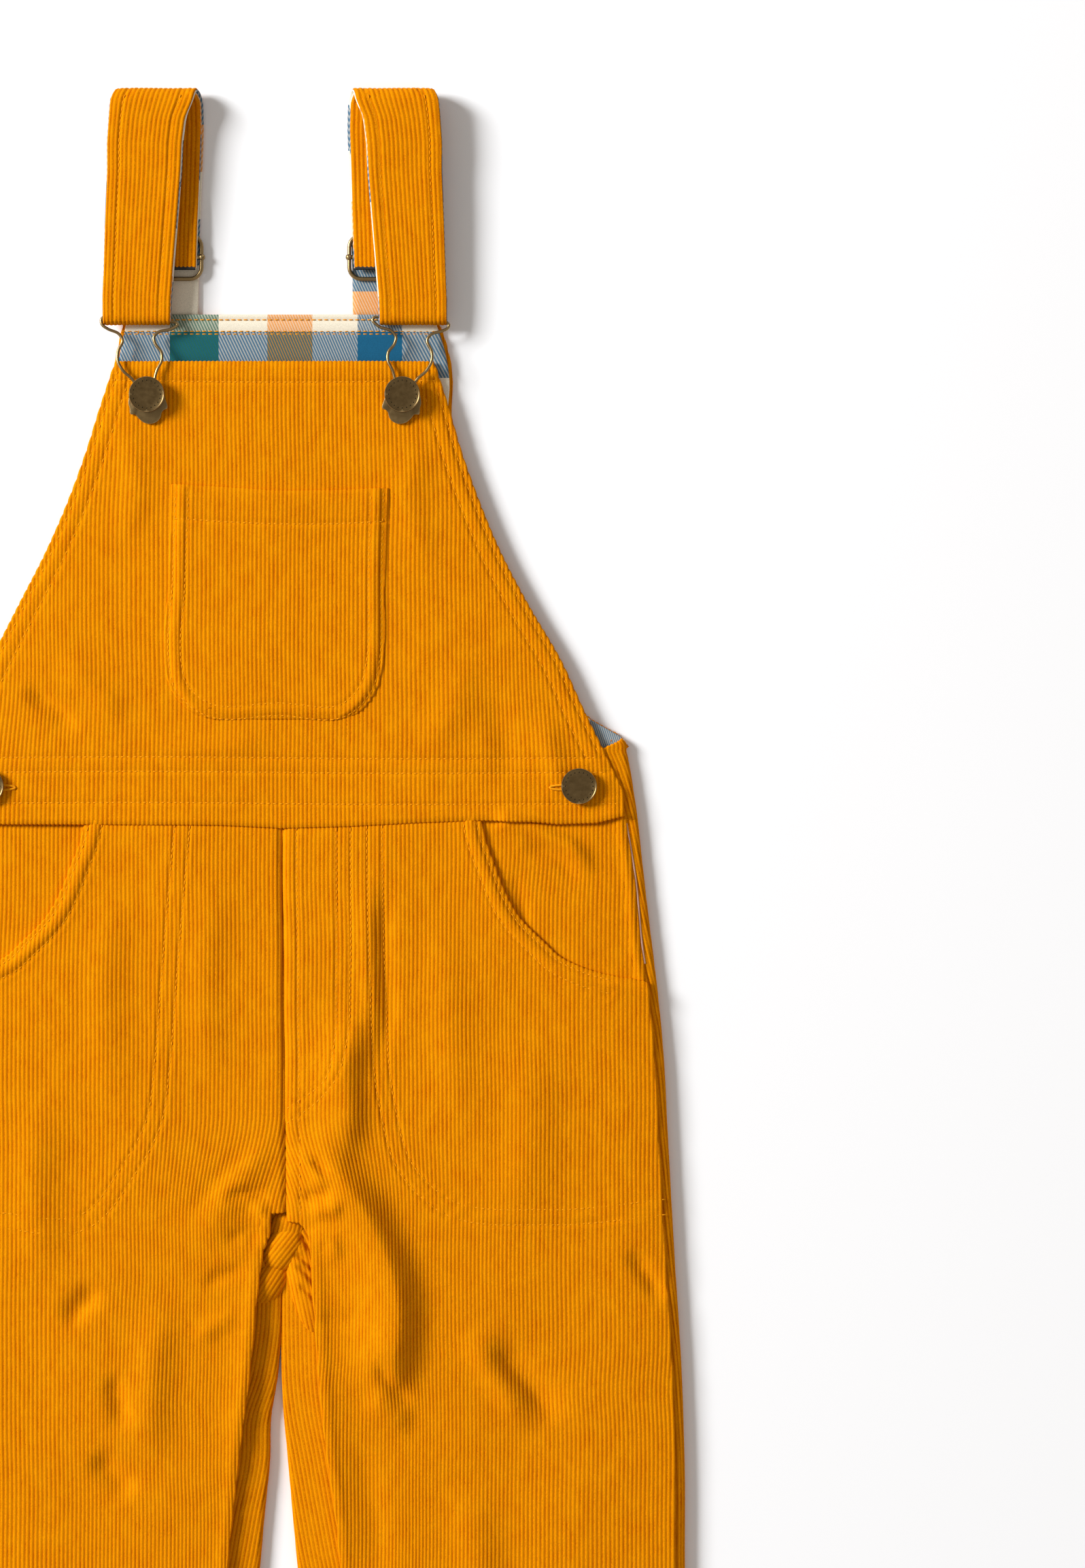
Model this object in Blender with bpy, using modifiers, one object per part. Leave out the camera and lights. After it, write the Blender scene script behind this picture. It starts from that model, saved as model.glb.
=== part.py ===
"""Kids corduroy dungarees laid flat on their back, in metres.

+X is the viewer's right, +Y runs from the legs to the shoulder straps and +Z is up.
The waist seam lies at y = 0 while the pieces are shaped. All lengths below are in millimetres.
"""

import math

import bmesh
import bpy
import numpy as np
from mathutils import Vector

mm = 0.001

# Driving dimensions
cloth = 2.2  # corduroy with its turned edge
facing_cloth = 1.0
facing_inset = 1.2  # from the back bib's edge
corner_inset = 15.0  # at the side corners, which curl up
strap_cloth = 1.8
gap = 0.3  # between pieces that meet
side_gap = 1.0  # at the side seams, where the back's fold leans over the front's edge
leg_centre = 2.0  # x of the centre seams
bib_centre = -1.6  # x halfway between the straps
hem_y = -600.0
side_roll = 3.5  # radius of the fold down each side
inseam_roll = 2.8
inseam_lap = 3.0  # front leg over the folded back leg
side_height = 7.0  # top of the front at the side seams
bib_height = 6.0  # top of the bib at its armhole edges
crown = 1.3  # how much the front rises inwards from its sides
button_radius = 8.2
wire_radius = 0.7

# Outlines, as rows of y, left x, right x
bib_rows = [
    (210.6, -75.0, 71.2),
    (186.2, -83.1, 79.0),
    (173.8, -86.9, 82.5),
    (148.8, -95.6, 91.2),
    (123.8, -106.6, 101.6),
    (98.8, -119.4, 114.7),
    (73.8, -132.5, 129.4),
    (48.8, -143.0, 140.9),
    (32.2, -150.0, 149.1),
    (12.2, -156.0, 158.4),
    (0.15, -155.2, 159.2),
]
back_rows = [
    (232.0, -70.6, 71.9),
    (223.8, -72.5, 75.2),
    (201.9, -76.6, 79.7),
    (186.0, -79.0, 78.4),
    (148.8, -91.5, 88.5),
    (98.8, -114.5, 111.5),
    (73.8, -128.0, 126.5),
    (55.0, -136.5, 136.0),
    (45.6, -139.4, 143.4),
    (38.4, -154.4, 158.4),
    (30.6, -156.3, 160.3),
    (13.1, -159.4, 163.4),
    (0.15, -161.3, 165.3),
]
pocket_rows = [
    (152.2, -48.8, 50.0),
    (110.0, -50.2, 48.8),
    (69.7, -51.6, 47.5),
    (60.0, -48.6, 44.8),
    (52.0, -42.5, 39.5),
    (46.6, -33.8, 32.2),
]

# Edges of one leg, as rows of y, distance from the centre seams
side_edge = [
    (0.0, 163.3),
    (-5.9, 163.9),
    (-45.0, 168.3),
    (-76.2, 172.1),
    (-101.0, 174.6),
    (-151.0, 177.4),
    (-201.0, 180.2),
    (-251.0, 183.3),
    (-301.0, 184.9),
    (-342.0, 184.9),
    (-450.0, 187.5),
    (-600.0, 191.5),
]
scoop_edge = [
    (0.0, 90.7),
    (-10.0, 93.1),
    (-20.6, 97.2),
    (-32.8, 101.9),
    (-44.7, 108.7),
    (-55.6, 119.4),
    (-65.0, 131.2),
    (-70.3, 145.6),
    (-75.0, 168.2),
]
opening_edge = [(0.0, 157.1), (-25.6, 161.4), (-63.8, 165.5), (-73.0, 167.2)]
leg_shapes = {
    "right": {
        "sign": 1,
        "inseam": [(-187.5, 11.1), (-217.0, 13.6), (-249.0, 15.8), (-291.0, 20.8),
                   (-342.5, 26.4), (-400.0, 32.0), (-500.0, 41.0), (-600.0, 46.0)],
        "lobe": [(-187.5, 0.15), (-246.0, 0.15), (-260.0, -0.5), (-284.7, 1.4), (-313.0, 3.0),
                 (-342.5, 5.5), (-400.0, 14.0), (-500.0, 30.0), (-600.0, 40.0)],
    },
    "left": {
        "sign": -1,
        "inseam": [(-187.5, 5.2), (-207.5, 8.9), (-220.3, 11.4), (-252.5, 14.5), (-287.8, 19.5),
                   (-329.7, 24.2), (-400.0, 31.0), (-500.0, 40.0), (-600.0, 45.0)],
        "lobe": [(-187.5, 0.15), (-214.0, 1.0), (-246.0, 1.1), (-260.0, 3.5), (-276.6, 5.8),
                 (-297.5, 6.7), (-342.5, 10.8), (-400.0, 17.0), (-500.0, 31.0), (-600.0, 41.0)],
    },
}
leg_levels = [0.0, -20.6, -32.8, -44.7, -55.6, -65.0, -70.3, -75.0, -101.0, -130.0, -151.0, -170.0,
              -187.5, -201.0, -219.0, -238.0, -258.0, -284.7, -313.0, -342.5, -400.0,
              -460.0, -530.0, hem_y]

# How far the back leg's side fold is closed, as rows of y, share of a half turn
side_turn = [(45.0, 0.01), (38.0, 0.06), (0.0, 0.2), (-45.0, 0.4), (-63.8, 0.7), (-80.0, 1.0)]

# Largest folds of the front, as rows of x, y, x, y, half width, height
folds = [
    (24.0, -156.0, 47.0, -195.0, 11.0, 4.5),
    (47.0, -195.0, 62.0, -250.0, 11.0, 4.5),
    (3.0, -143.0, -38.0, -195.0, 9.0, 3.0),
    (4.0, -186.0, 12.0, -190.0, 26.0, 3.0),
]

# One strap, as rows of y, height, and its inner and outer edges' distances from the bib's centre.
# It runs from the back bib over the shoulder fold to the buckle's bar, round it, and back inside
# the same fold to the slider, where it ends.
shoulder_y = 330.2
shoulder_radius = 5.5
layer_pitch = 2.1
bar_y = 230.0
bar_z = 6.8
bar_radius = 1.9
strap_tail = [(232.4, 0.9, 36.5, 67.5), (254.0, 0.9, 36.2, 67.2), (275.0, 0.9, 35.6, 66.6),
              (300.0, 0.9, 34.6, 66.6), (shoulder_y, 0.9, 34.3, 69.0)]
strap_front = [(shoulder_y, 11.9, 38.2, 74.8), (322.0, 11.9, 41.7, 75.4), (311.0, 11.6, 43.1, 76.2),
               (298.0, 11.2, 43.7, 76.2), (274.0, 10.6, 45.6, 77.2), (252.0, 10.0, 47.4, 77.9),
               (240.0, 9.5, 48.4, 78.4), (bar_y, bar_z + bar_radius, 48.7, 78.4)]
strap_return = [(bar_y, bar_z - bar_radius, 48.7, 78.4), (240.0, 6.2, 48.2, 78.1),
                (252.0, 7.0, 47.2, 77.4), (274.0, 7.6, 45.4, 76.6), (298.0, 8.5, 43.5, 75.7),
                (311.0, 9.1, 42.9, 75.2), (322.0, 9.6, 41.5, 74.6), (shoulder_y, 9.8, 39.0, 74.0)]
strap_end = [(shoulder_y, 3.0, 35.4, 70.0), (300.0, 3.0, 36.8, 68.0), (275.0, 3.0, 37.2, 68.0),
             (254.0, 3.0, 36.6, 67.4)]

# Buckle wire round the button's stem and through the strap, as rows of outward x, y
button_place = (58.6, 195.3)
wire_route = [(20.2, 34.7), (21.3, 33.4), (20.9, 31.6), (18.5, 30.0), (12.8, 27.6), (11.4, 25.4),
              (13.4, 19.8), (13.5, 15.9), (11.2, 11.2), (6.4, 6.6), (4.2, 1.5), (2.8, -3.0),
              (0.0, -4.6), (-2.6, -2.8), (-3.6, 1.5), (-3.4, 6.0), (-4.4, 10.8), (-6.7, 15.9),
              (-6.6, 19.2), (-3.6, 23.6), (-3.0, 26.6), (-4.6, 28.7), (-11.4, 31.2), (-13.8, 33.6),
              (-12.6, 34.7)]
plate_outline = [(-7.5, 5.5), (-9.2, -2.5), (-8.4, -9.0), (-4.5, -10.6), (-2.8, -13.7), (2.6, -13.7),
                 (4.5, -10.4), (8.8, -7.2), (9.2, -2.5), (7.5, 5.5)]
plate_thickness = 0.8
side_button_place = (136.1, 15.6)
slider_place = (52.0, 259.0, 4.9)
slider_size = (38.0, 22.0)
slider_wire = 1.5


def at(table, y, column=1):
    """The column's value at y, from rows that run down in y."""
    rows = sorted(table)
    return float(np.interp(y, [row[0] for row in rows], [row[column] for row in rows]))


def fold_height(x, y):
    """The height that the folds add at a point of the front."""
    total = 0.0
    for x0, y0, x1, y1, half_width, height in folds:
        run = Vector((x1 - x0, y1 - y0))
        away = Vector((x - x0, y - y0))
        share = min(1.0, max(0.0, away.dot(run) / run.dot(run)))
        across = (away - run * share).length / half_width
        if across < 1.0:
            total = max(total, height * (1.0 - across * across) ** 2)
    return total


def front_top(x, y):
    """The height of the front's upper side, which rises inwards from the garment's sides."""
    edge = at(bib_rows, y, 2) if y > 0.0 else leg_centre + at(side_edge, y)
    middle = (at(bib_rows, y, 1) + edge) / 2 if y > 0.0 else leg_centre
    inwards = max(0.0, edge - middle - abs(x - middle))
    base = float(np.interp(y, [0.0, 60.0], [side_height, bib_height]))
    return base + crown * (1.0 - math.exp(-inwards / 18.0)) + fold_height(x, y)


def make_collection(name):
    collection = bpy.data.collections.new(name)
    bpy.context.scene.collection.children.link(collection)
    return collection


def make_material(name, colour, roughness, metallic=0.0):
    material = bpy.data.materials.new(name)
    material.use_nodes = True
    shader = material.node_tree.nodes["Principled BSDF"]
    shader.inputs["Base Color"].default_value = (*colour, 1.0)
    shader.inputs["Roughness"].default_value = roughness
    shader.inputs["Metallic"].default_value = metallic
    return material


def add_object(name, data, material):
    data.materials.append(material)
    item = bpy.data.objects.new(name, data)
    garment.objects.link(item)
    return item


def add_sheet(name, sections, thickness, material, offset=-1.0):
    """A walled sheet through sections of equal length, whose points are its outer side."""
    shape = bmesh.new()
    across = len(sections[0]) - 1
    along = len(sections) - 1
    bmesh.ops.create_grid(shape, x_segments=across, y_segments=along, size=1.0)
    for vertex in shape.verts:
        column = round((vertex.co.x + 1.0) * across / 2)
        row = round((1.0 - vertex.co.y) * along / 2)
        vertex.co = Vector(sections[row][column]) * mm
    mesh = bpy.data.meshes.new(name)
    shape.to_mesh(mesh)
    shape.free()
    item = add_object(name, mesh, material)
    wall = item.modifiers.new("wall", "SOLIDIFY")
    wall.thickness = thickness * mm
    wall.offset = offset
    mesh.shade_smooth()
    return item


def spread(first, last, count):
    return [first + (last - first) * step / count for step in range(count + 1)]


def front_section(y, left, right, count, lift=0.0):
    return [(x, y, front_top(x, y) + lift) for x in spread(left, right, count)]


def roll(start, heading, length, radius, turn, count):
    """x and z along cloth that leaves the floor at start and folds over through a half turn."""
    points = []
    x, z = start, 0.0
    step = length / count / 8
    for part in range(1, count * 8 + 1):
        angle = turn * min((part - 0.5) * step, math.pi * radius) / radius
        x += heading * step * math.cos(angle)
        z += step * math.sin(angle)
        if part % 8 == 0:
            points.append((x, z))
    return points


def reach(radius, turn):
    """How far outwards a roll of half a circle's length goes from where it leaves the floor."""
    return radius / turn * math.sin(min(turn, 0.5) * math.pi)


def back_leg_section(shape, y):
    """The back leg from its inseam, folded up from the floor, to its side seam."""
    crotch = shape["inseam"][0][0]
    closed = 1.0 if y <= crotch else 0.0
    inner = at(shape["lobe"], y)
    length = inseam_roll * math.pi
    if closed:
        length += max(0.0, at(shape["inseam"], y) + inseam_lap - inner - inseam_roll)
    inner_start = inner + (inseam_roll if closed else length)
    side = at(side_turn, y)
    outer_start = at(side_edge, y) - reach(side_roll, side)
    inner_points = roll(inner_start, -1.0, length, inseam_roll, closed, 6)
    flat = [(x, 0.0) for x in spread(inner_start, outer_start, 4)]
    outer_points = roll(outer_start, 1.0, side_roll * math.pi, side_roll, side, 5)
    points = inner_points[::-1] + flat + outer_points
    return [(leg_centre + shape["sign"] * x, y, z) for x, z in points]


def front_leg_section(shape, y):
    crotch = shape["inseam"][0][0]
    inner = at(shape["inseam"], y) if y <= crotch else gap / 2
    outer = at(scoop_edge, y) if y > scoop_edge[-1][0] else at(side_edge, y) - side_roll
    ends = [leg_centre + shape["sign"] * x for x in (inner, outer - side_gap)]
    return front_section(min(y, -gap / 2), ends[0], ends[1], 9)


def add_legs():
    for side, shape in leg_shapes.items():
        back = [back_leg_section(shape, y) for y in leg_levels]
        front = [front_leg_section(shape, y) for y in leg_levels]
        # The outer side of each wall is where its faces point.
        inwards = -shape["sign"]
        add_sheet(f"leg_back_{side}", back, cloth, orange, -inwards)
        add_sheet(f"leg_front_{side}", front, cloth, orange, inwards)


def add_yokes():
    """The hip pieces in the scoop pockets, which end at the side openings."""
    levels = [y for y, _ in scoop_edge[:-1]] + [-72.5]
    for side, shape in leg_shapes.items():
        sections = []
        for y in levels:
            ends = [leg_centre + shape["sign"] * x for x in (at(scoop_edge, y), at(opening_edge, y))]
            sections.append(front_section(min(y, -gap / 2), ends[0], ends[1], 4, lift=-0.6))
        add_sheet(f"pocket_yoke_{side}", sections, cloth, orange, -shape["sign"])


def add_bib():
    sections = [front_section(y, left, right, 12) for y, left, right in bib_rows]
    add_sheet("bib_front", sections, cloth, orange)
    lift = gap + cloth - 0.2
    sections = [front_section(y, left, right, 6, lift) for y, left, right in pocket_rows]
    add_sheet("bib_pocket", sections, cloth - 0.2, orange)


def add_back():
    sections = []
    for y, left, right in back_rows:
        turn = at(side_turn, y)
        length = side_roll * math.pi
        ends = (left + reach(side_roll, turn), right - reach(side_roll, turn))
        flat = [(x, 0.0) for x in spread(*ends, 6)]
        lefts = roll(ends[0], -1.0, length, side_roll, turn, 3)
        rights = roll(ends[1], 1.0, length, side_roll, turn, 3)
        sections.append([(x, y, z) for x, z in lefts[::-1] + flat + rights])
    add_sheet("back_bib", sections, cloth, orange, 1.0)


def add_facing():
    """The plaid facing on the inner side of the back bib, down to its side corners."""
    top = cloth + gap + facing_cloth
    sections = []
    for y, left, right in back_rows[:10]:
        inset = facing_inset if y > 50.0 else corner_inset
        sections.append([(x, y - 0.4, top) for x in spread(left + inset, right - inset, 6)])
    add_sheet("back_facing", sections, facing_cloth, plaid)


def half_turn(first, last, heading, count):
    """Rows between two rows at one y, round a half turn towards heading."""
    radius = abs(last[1] - first[1]) / 2
    rows = []
    for step in range(1, count):
        angle = math.pi * step / count
        share = step / count
        y = first[0] + heading * radius * math.sin(angle)
        z = (first[1] + last[1]) / 2 + (first[1] - last[1]) / 2 * math.cos(angle)
        edges = [near + (far - near) * share for near, far in zip(first[2:], last[2:])]
        rows.append((y, z, *edges))
    return rows


def add_straps():
    shoulder = half_turn(strap_tail[-1], strap_front[0], 1, 8)
    loop = half_turn(strap_front[-1], strap_return[0], -1, 6)
    inner_shoulder = half_turn(strap_return[-1], strap_end[0], 1, 7)
    route = strap_tail + shoulder + strap_front + loop + strap_return + inner_shoulder + strap_end
    for side, shape in leg_shapes.items():
        sections = []
        for y, z, inner, outer in route:
            ends = [bib_centre + shape["sign"] * x for x in (inner, outer)]
            sections.append([(x, y, z) for x in ends])
        add_sheet(f"strap_{side}", sections, strap_cloth, orange, 0.0)


def add_button(name, place, base, cap_base, material):
    """A tack button: its stem stands on the cloth at base and its cap starts at cap_base."""
    top = cap_base + 2.2
    profile = [(0.0, top), (6.9, top), (7.8, top - 0.4), (button_radius, top - 1.1),
               (7.8, cap_base), (2.2, cap_base), (2.2, base), (0.0, base)]
    mesh = bpy.data.meshes.new(name)
    edges = [(step, step + 1) for step in range(len(profile) - 1)]
    mesh.from_pydata([(radius * mm, 0.0, z * mm) for radius, z in profile], edges, [])
    item = add_object(name, mesh, material)
    item.location = (place[0] * mm, place[1] * mm, 0.0)
    turn = item.modifiers.new("turn", "SCREW")
    turn.steps = 20
    turn.render_steps = 20
    turn.use_merge_vertices = True
    turn.merge_threshold = 0.00001
    turn.use_smooth_shade = False
    return item


def add_spline(curve, points, cyclic=True):
    spline = curve.splines.new("POLY")
    spline.points.add(len(points) - 1)
    for item, point in zip(spline.points, points):
        item.co = (*(value * mm for value in point), 1.0)
    spline.use_cyclic_u = cyclic


def add_plate(name, holes, outline, centre, z, thickness, material):
    """A flat piece with holes, level at z."""
    curve = bpy.data.curves.new(name, "CURVE")
    curve.dimensions = "2D"
    curve.fill_mode = "BOTH"
    curve.extrude = thickness / 2 * mm
    for ring in [outline] + holes:
        add_spline(curve, [(centre[0] + x, centre[1] + y, 0.0) for x, y in ring])
    item = add_object(name, curve, material)
    item.location.z = z * mm
    return item


def rectangle(width, height, corner, centre_y=0.0):
    """The points of a rectangle with rounded corners."""
    points = []
    for quarter in range(4):
        sign_x = 1 if quarter in (0, 3) else -1
        sign_y = 1 if quarter < 2 else -1
        for step in range(4):
            angle = math.pi / 2 * (quarter + step / 3)
            x = sign_x * (width / 2 - corner) + corner * math.cos(angle)
            y = sign_y * (height / 2 - corner) + corner * math.sin(angle)
            points.append((x, centre_y + y))
    return points


def add_buckles():
    for side, shape in leg_shapes.items():
        sign = shape["sign"]
        centre = (bib_centre + sign * button_place[0], button_place[1])
        cloth_top = front_top(*centre) + 0.35
        plate_z = cloth_top + gap + plate_thickness / 2
        wire_z = plate_z + plate_thickness / 2 + gap + wire_radius
        hole = [(3.0 * math.cos(math.pi * step / 8), 3.0 * math.sin(math.pi * step / 8))
                for step in range(16)]
        outline = [(sign * x, y) for x, y in plate_outline]
        add_plate(f"buckle_plate_{side}", [hole], outline, centre, plate_z, plate_thickness, brass)
        curve = bpy.data.curves.new(f"buckle_wire_{side}", "CURVE")
        curve.dimensions = "3D"
        curve.bevel_depth = wire_radius * mm
        curve.bevel_resolution = 1
        points = []
        for x, y in wire_route:
            z = float(np.interp(y, [12.0, bar_y - button_place[1]], [wire_z, bar_z]))
            points.append((centre[0] + sign * x, centre[1] + y, z))
        add_spline(curve, points)
        add_object(f"buckle_wire_{side}", curve, brass)
        cap_base = wire_z + wire_radius + gap
        add_button(f"bib_button_{side}", centre, cloth_top, cap_base, brass)


def add_sliders():
    width, height = slider_size
    window = (height - 3 * slider_wire) / 2
    shift = (window + slider_wire) / 2
    holes = [rectangle(width - 2 * slider_wire, window, 1.5, y) for y in (-shift, shift)]
    for side, shape in leg_shapes.items():
        centre = (bib_centre + shape["sign"] * slider_place[0], slider_place[1])
        outline = rectangle(width, height, 3.0)
        add_plate(f"slider_{side}", holes, outline, centre, slider_place[2], slider_wire - 0.1, brass)


def add_side_buttons():
    for side, shape in leg_shapes.items():
        place = (leg_centre + shape["sign"] * side_button_place[0], side_button_place[1])
        base = front_top(*place) + 0.35
        add_button(f"side_button_{side}", place, base, base + 0.8, brass)


for item in list(bpy.data.objects):
    bpy.data.objects.remove(item, do_unlink=True)
garment = make_collection("kids_dungarees")
orange = make_material("orange corduroy", (0.78, 0.27, 0.006), 0.9)
plaid = make_material("plaid twill", (0.05, 0.18, 0.25), 0.8)
brass = make_material("antique brass", (0.25, 0.17, 0.08), 0.4, 1.0)
add_back()
add_facing()
add_legs()
add_yokes()
add_bib()
add_straps()
add_buckles()
add_sliders()
add_side_buttons()

# The part's origin is under the middle of its box.
top_y = shoulder_y + shoulder_radius + strap_cloth / 2
bottom_centre = Vector((leg_centre, (top_y + hem_y) / 2, 0.0)) * mm
for item in garment.objects:
    item.location -= bottom_centre
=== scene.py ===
import math

import bpy
import mathutils
import numpy as np
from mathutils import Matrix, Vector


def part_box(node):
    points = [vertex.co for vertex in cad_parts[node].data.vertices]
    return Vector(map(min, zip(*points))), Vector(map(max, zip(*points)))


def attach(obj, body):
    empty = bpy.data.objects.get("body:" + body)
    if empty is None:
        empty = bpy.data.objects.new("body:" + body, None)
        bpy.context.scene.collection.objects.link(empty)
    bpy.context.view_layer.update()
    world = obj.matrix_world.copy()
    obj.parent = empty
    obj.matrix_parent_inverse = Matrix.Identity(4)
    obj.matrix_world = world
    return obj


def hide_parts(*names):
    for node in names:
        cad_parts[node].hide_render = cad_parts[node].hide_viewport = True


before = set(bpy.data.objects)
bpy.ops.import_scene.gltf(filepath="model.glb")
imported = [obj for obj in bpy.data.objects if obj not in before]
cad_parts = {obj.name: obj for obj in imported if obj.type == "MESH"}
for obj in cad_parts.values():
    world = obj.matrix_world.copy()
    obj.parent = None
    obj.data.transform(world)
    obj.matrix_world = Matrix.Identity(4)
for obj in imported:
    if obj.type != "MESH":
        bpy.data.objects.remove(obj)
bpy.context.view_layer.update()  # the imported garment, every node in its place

# The garment is drawn in millimetres: x across from the bib's middle line, y up from the waist seam.
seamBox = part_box("leg_front_right")
seamCentre = 2.0  # the centre seams, beside the bib's middle line
seamGap = 0.15
originX = seamBox[0].x * 1000 - seamCentre - seamGap
originY = seamBox[1].y * 1000 + seamGap
hemY = seamBox[0].y * 1000 - originY
bibMiddle = -1.6
sides = {"right": 1, "left": -1}

corduroy = {
    "pitch": 1.94,  # from wale to wale
    "depth": 0.33,
    "cloth": 1.9,  # thickness of a turned edge
    "columns": 4,  # mesh columns in a wale
    "rowSpacing": 2.6,
    "lowRowSpacing": 5.0,
}
fineStep = corduroy["pitch"] / corduroy["columns"]
coarseStep = corduroy["pitch"] / 3  # where the cloth is mostly hidden
twill = {"step": 2.2, "cloth": 0.8}


def report(stage):
    print("dungarees:", stage)


# curves, folds and noise


def between(t, run, low, high, lowSlope, highSlope):
    # a smooth run from low to high, with a slope given at each end
    return ((1 + 2 * t) * (1 - t) ** 2 * low + t * (1 - t) ** 2 * run * lowSlope
            + t * t * (3 - 2 * t) * high + t * t * (t - 1) * run * highSlope)


def curveThrough(points):
    # a smooth line x(y) through a few points
    rows = np.array(sorted(points), float)
    slope = np.gradient(rows[:, 1], rows[:, 0])
    dense = []
    for i in range(len(rows) - 1):
        t = np.linspace(0, 1, 12, endpoint=False)
        run = rows[i + 1, 0] - rows[i, 0]
        x = between(t, run, rows[i, 1], rows[i + 1, 1], slope[i], slope[i + 1])
        dense.append(np.stack([rows[i, 0] + run * t, x], axis=1))
    dense = np.concatenate(dense + [rows[-1:]])
    return lambda y: np.interp(y, dense[:, 0], dense[:, 1])


def chordOf(points):
    # the distance along a line at each of its points
    return np.concatenate([[0], np.cumsum(np.linalg.norm(np.diff(points, axis=0), axis=1))])


def smoothLine(points, spacing=1.5):
    # points spaced evenly along a smooth line through a few given ones
    points = np.array(points, float)
    chord = chordOf(points)
    if len(points) > 2:
        slope = np.gradient(points, chord, axis=0)
        t = np.linspace(0, chord[-1], max(8, int(chord[-1] / spacing * 2)))
        k = np.clip(np.searchsorted(chord, t, side="right") - 1, 0, len(points) - 2)
        run = (chord[k + 1] - chord[k])[:, None]
        s = (t - chord[k])[:, None] / run
        points = between(s, run, points[k], points[k + 1], slope[k], slope[k + 1])
        chord = chordOf(points)
    t = np.linspace(0, chord[-1], max(2, int(round(chord[-1] / spacing)) + 1))
    return np.stack([np.interp(t, chord, points[:, k]) for k in range(points.shape[1])], axis=1)


def toLine(x, y, line):
    # distance to a line of points, the signed side, and how far along it (0 to 1)
    best = np.full(x.shape, 1e9)
    side = np.zeros(x.shape)
    along = np.zeros(x.shape)
    runs = np.diff(line, axis=0)
    lengths = np.linalg.norm(runs, axis=1)
    total = lengths.sum()
    done = 0.0
    for start, run, length in zip(line[:-1], runs, lengths):
        dx, dy = x - start[0], y - start[1]
        t = np.clip((dx * run[0] + dy * run[1]) / length**2, 0, 1)
        away = np.hypot(dx - t * run[0], dy - t * run[1])
        near = away < best
        best = np.where(near, away, best)
        side = np.where(near, np.sign(run[0] * dy - run[1] * dx), side)
        along = np.where(near, (done + t * length) / total, along)
        done += length
    return best, side, along


def ripple(x, y, scale, seed):
    # smooth unevenness between -1 and 1, the same each run
    random = np.random.default_rng(seed)
    total = np.zeros(np.broadcast(x, y).shape)
    for _ in range(7):
        angle = random.uniform(0, math.tau)
        size = scale * random.uniform(0.6, 1.7)
        phase = random.uniform(0, math.tau)
        total = total + np.sin((x * math.cos(angle) + y * math.sin(angle)) * math.tau / size + phase)
    return total / 4.2


def foldHeight(x, y, folds):
    # each fold: points of its crest, height, width on the left and right of its run, share that tapers
    total = np.zeros(np.broadcast(x, y).shape)
    for fold in folds:
        line = smoothLine(fold["line"], 6.0)
        reach = 3.2 * max(fold["left"], fold["right"])
        low, high = line.min(axis=0) - reach, line.max(axis=0) + reach
        near = (x > low[0]) & (x < high[0]) & (y > low[1]) & (y < high[1])
        if not near.any():
            continue
        away, side, along = toLine(x[near], y[near], line)
        width = np.where(side > 0, fold["left"], fold["right"])
        taper = fold.get("taper", 0.35)
        ends = np.clip(np.minimum(along / taper, (1 - along) / taper), 0, 1)
        if fold.get("open") == "start":
            ends = np.clip((1 - along) / taper, 0, 1)
        if fold.get("open") == "end":
            ends = np.clip(along / taper, 0, 1)
        total[near] += fold["height"] * np.exp(-((away / width) ** 2)) * ends * ends * (3 - 2 * ends)
    return total


# a sheet of cloth as a fine mesh in its own cloth coordinates


def chainBetween(a, b, u):
    # triangles between two chains of points that share their ends, by their u
    faces = []
    i = j = 0
    while i < len(a) - 1 or j < len(b) - 1:
        if j == len(b) - 1 or (i < len(a) - 1 and u[a[i + 1]] <= u[b[j + 1]]):
            if a[i] != b[j] and a[i + 1] != b[j]:
                faces.append((a[i], a[i + 1], b[j]))
            i += 1
        else:
            if a[i] != b[j] and a[i] != b[j + 1]:
                faces.append((a[i], b[j + 1], b[j]))
            j += 1
    return faces


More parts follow.
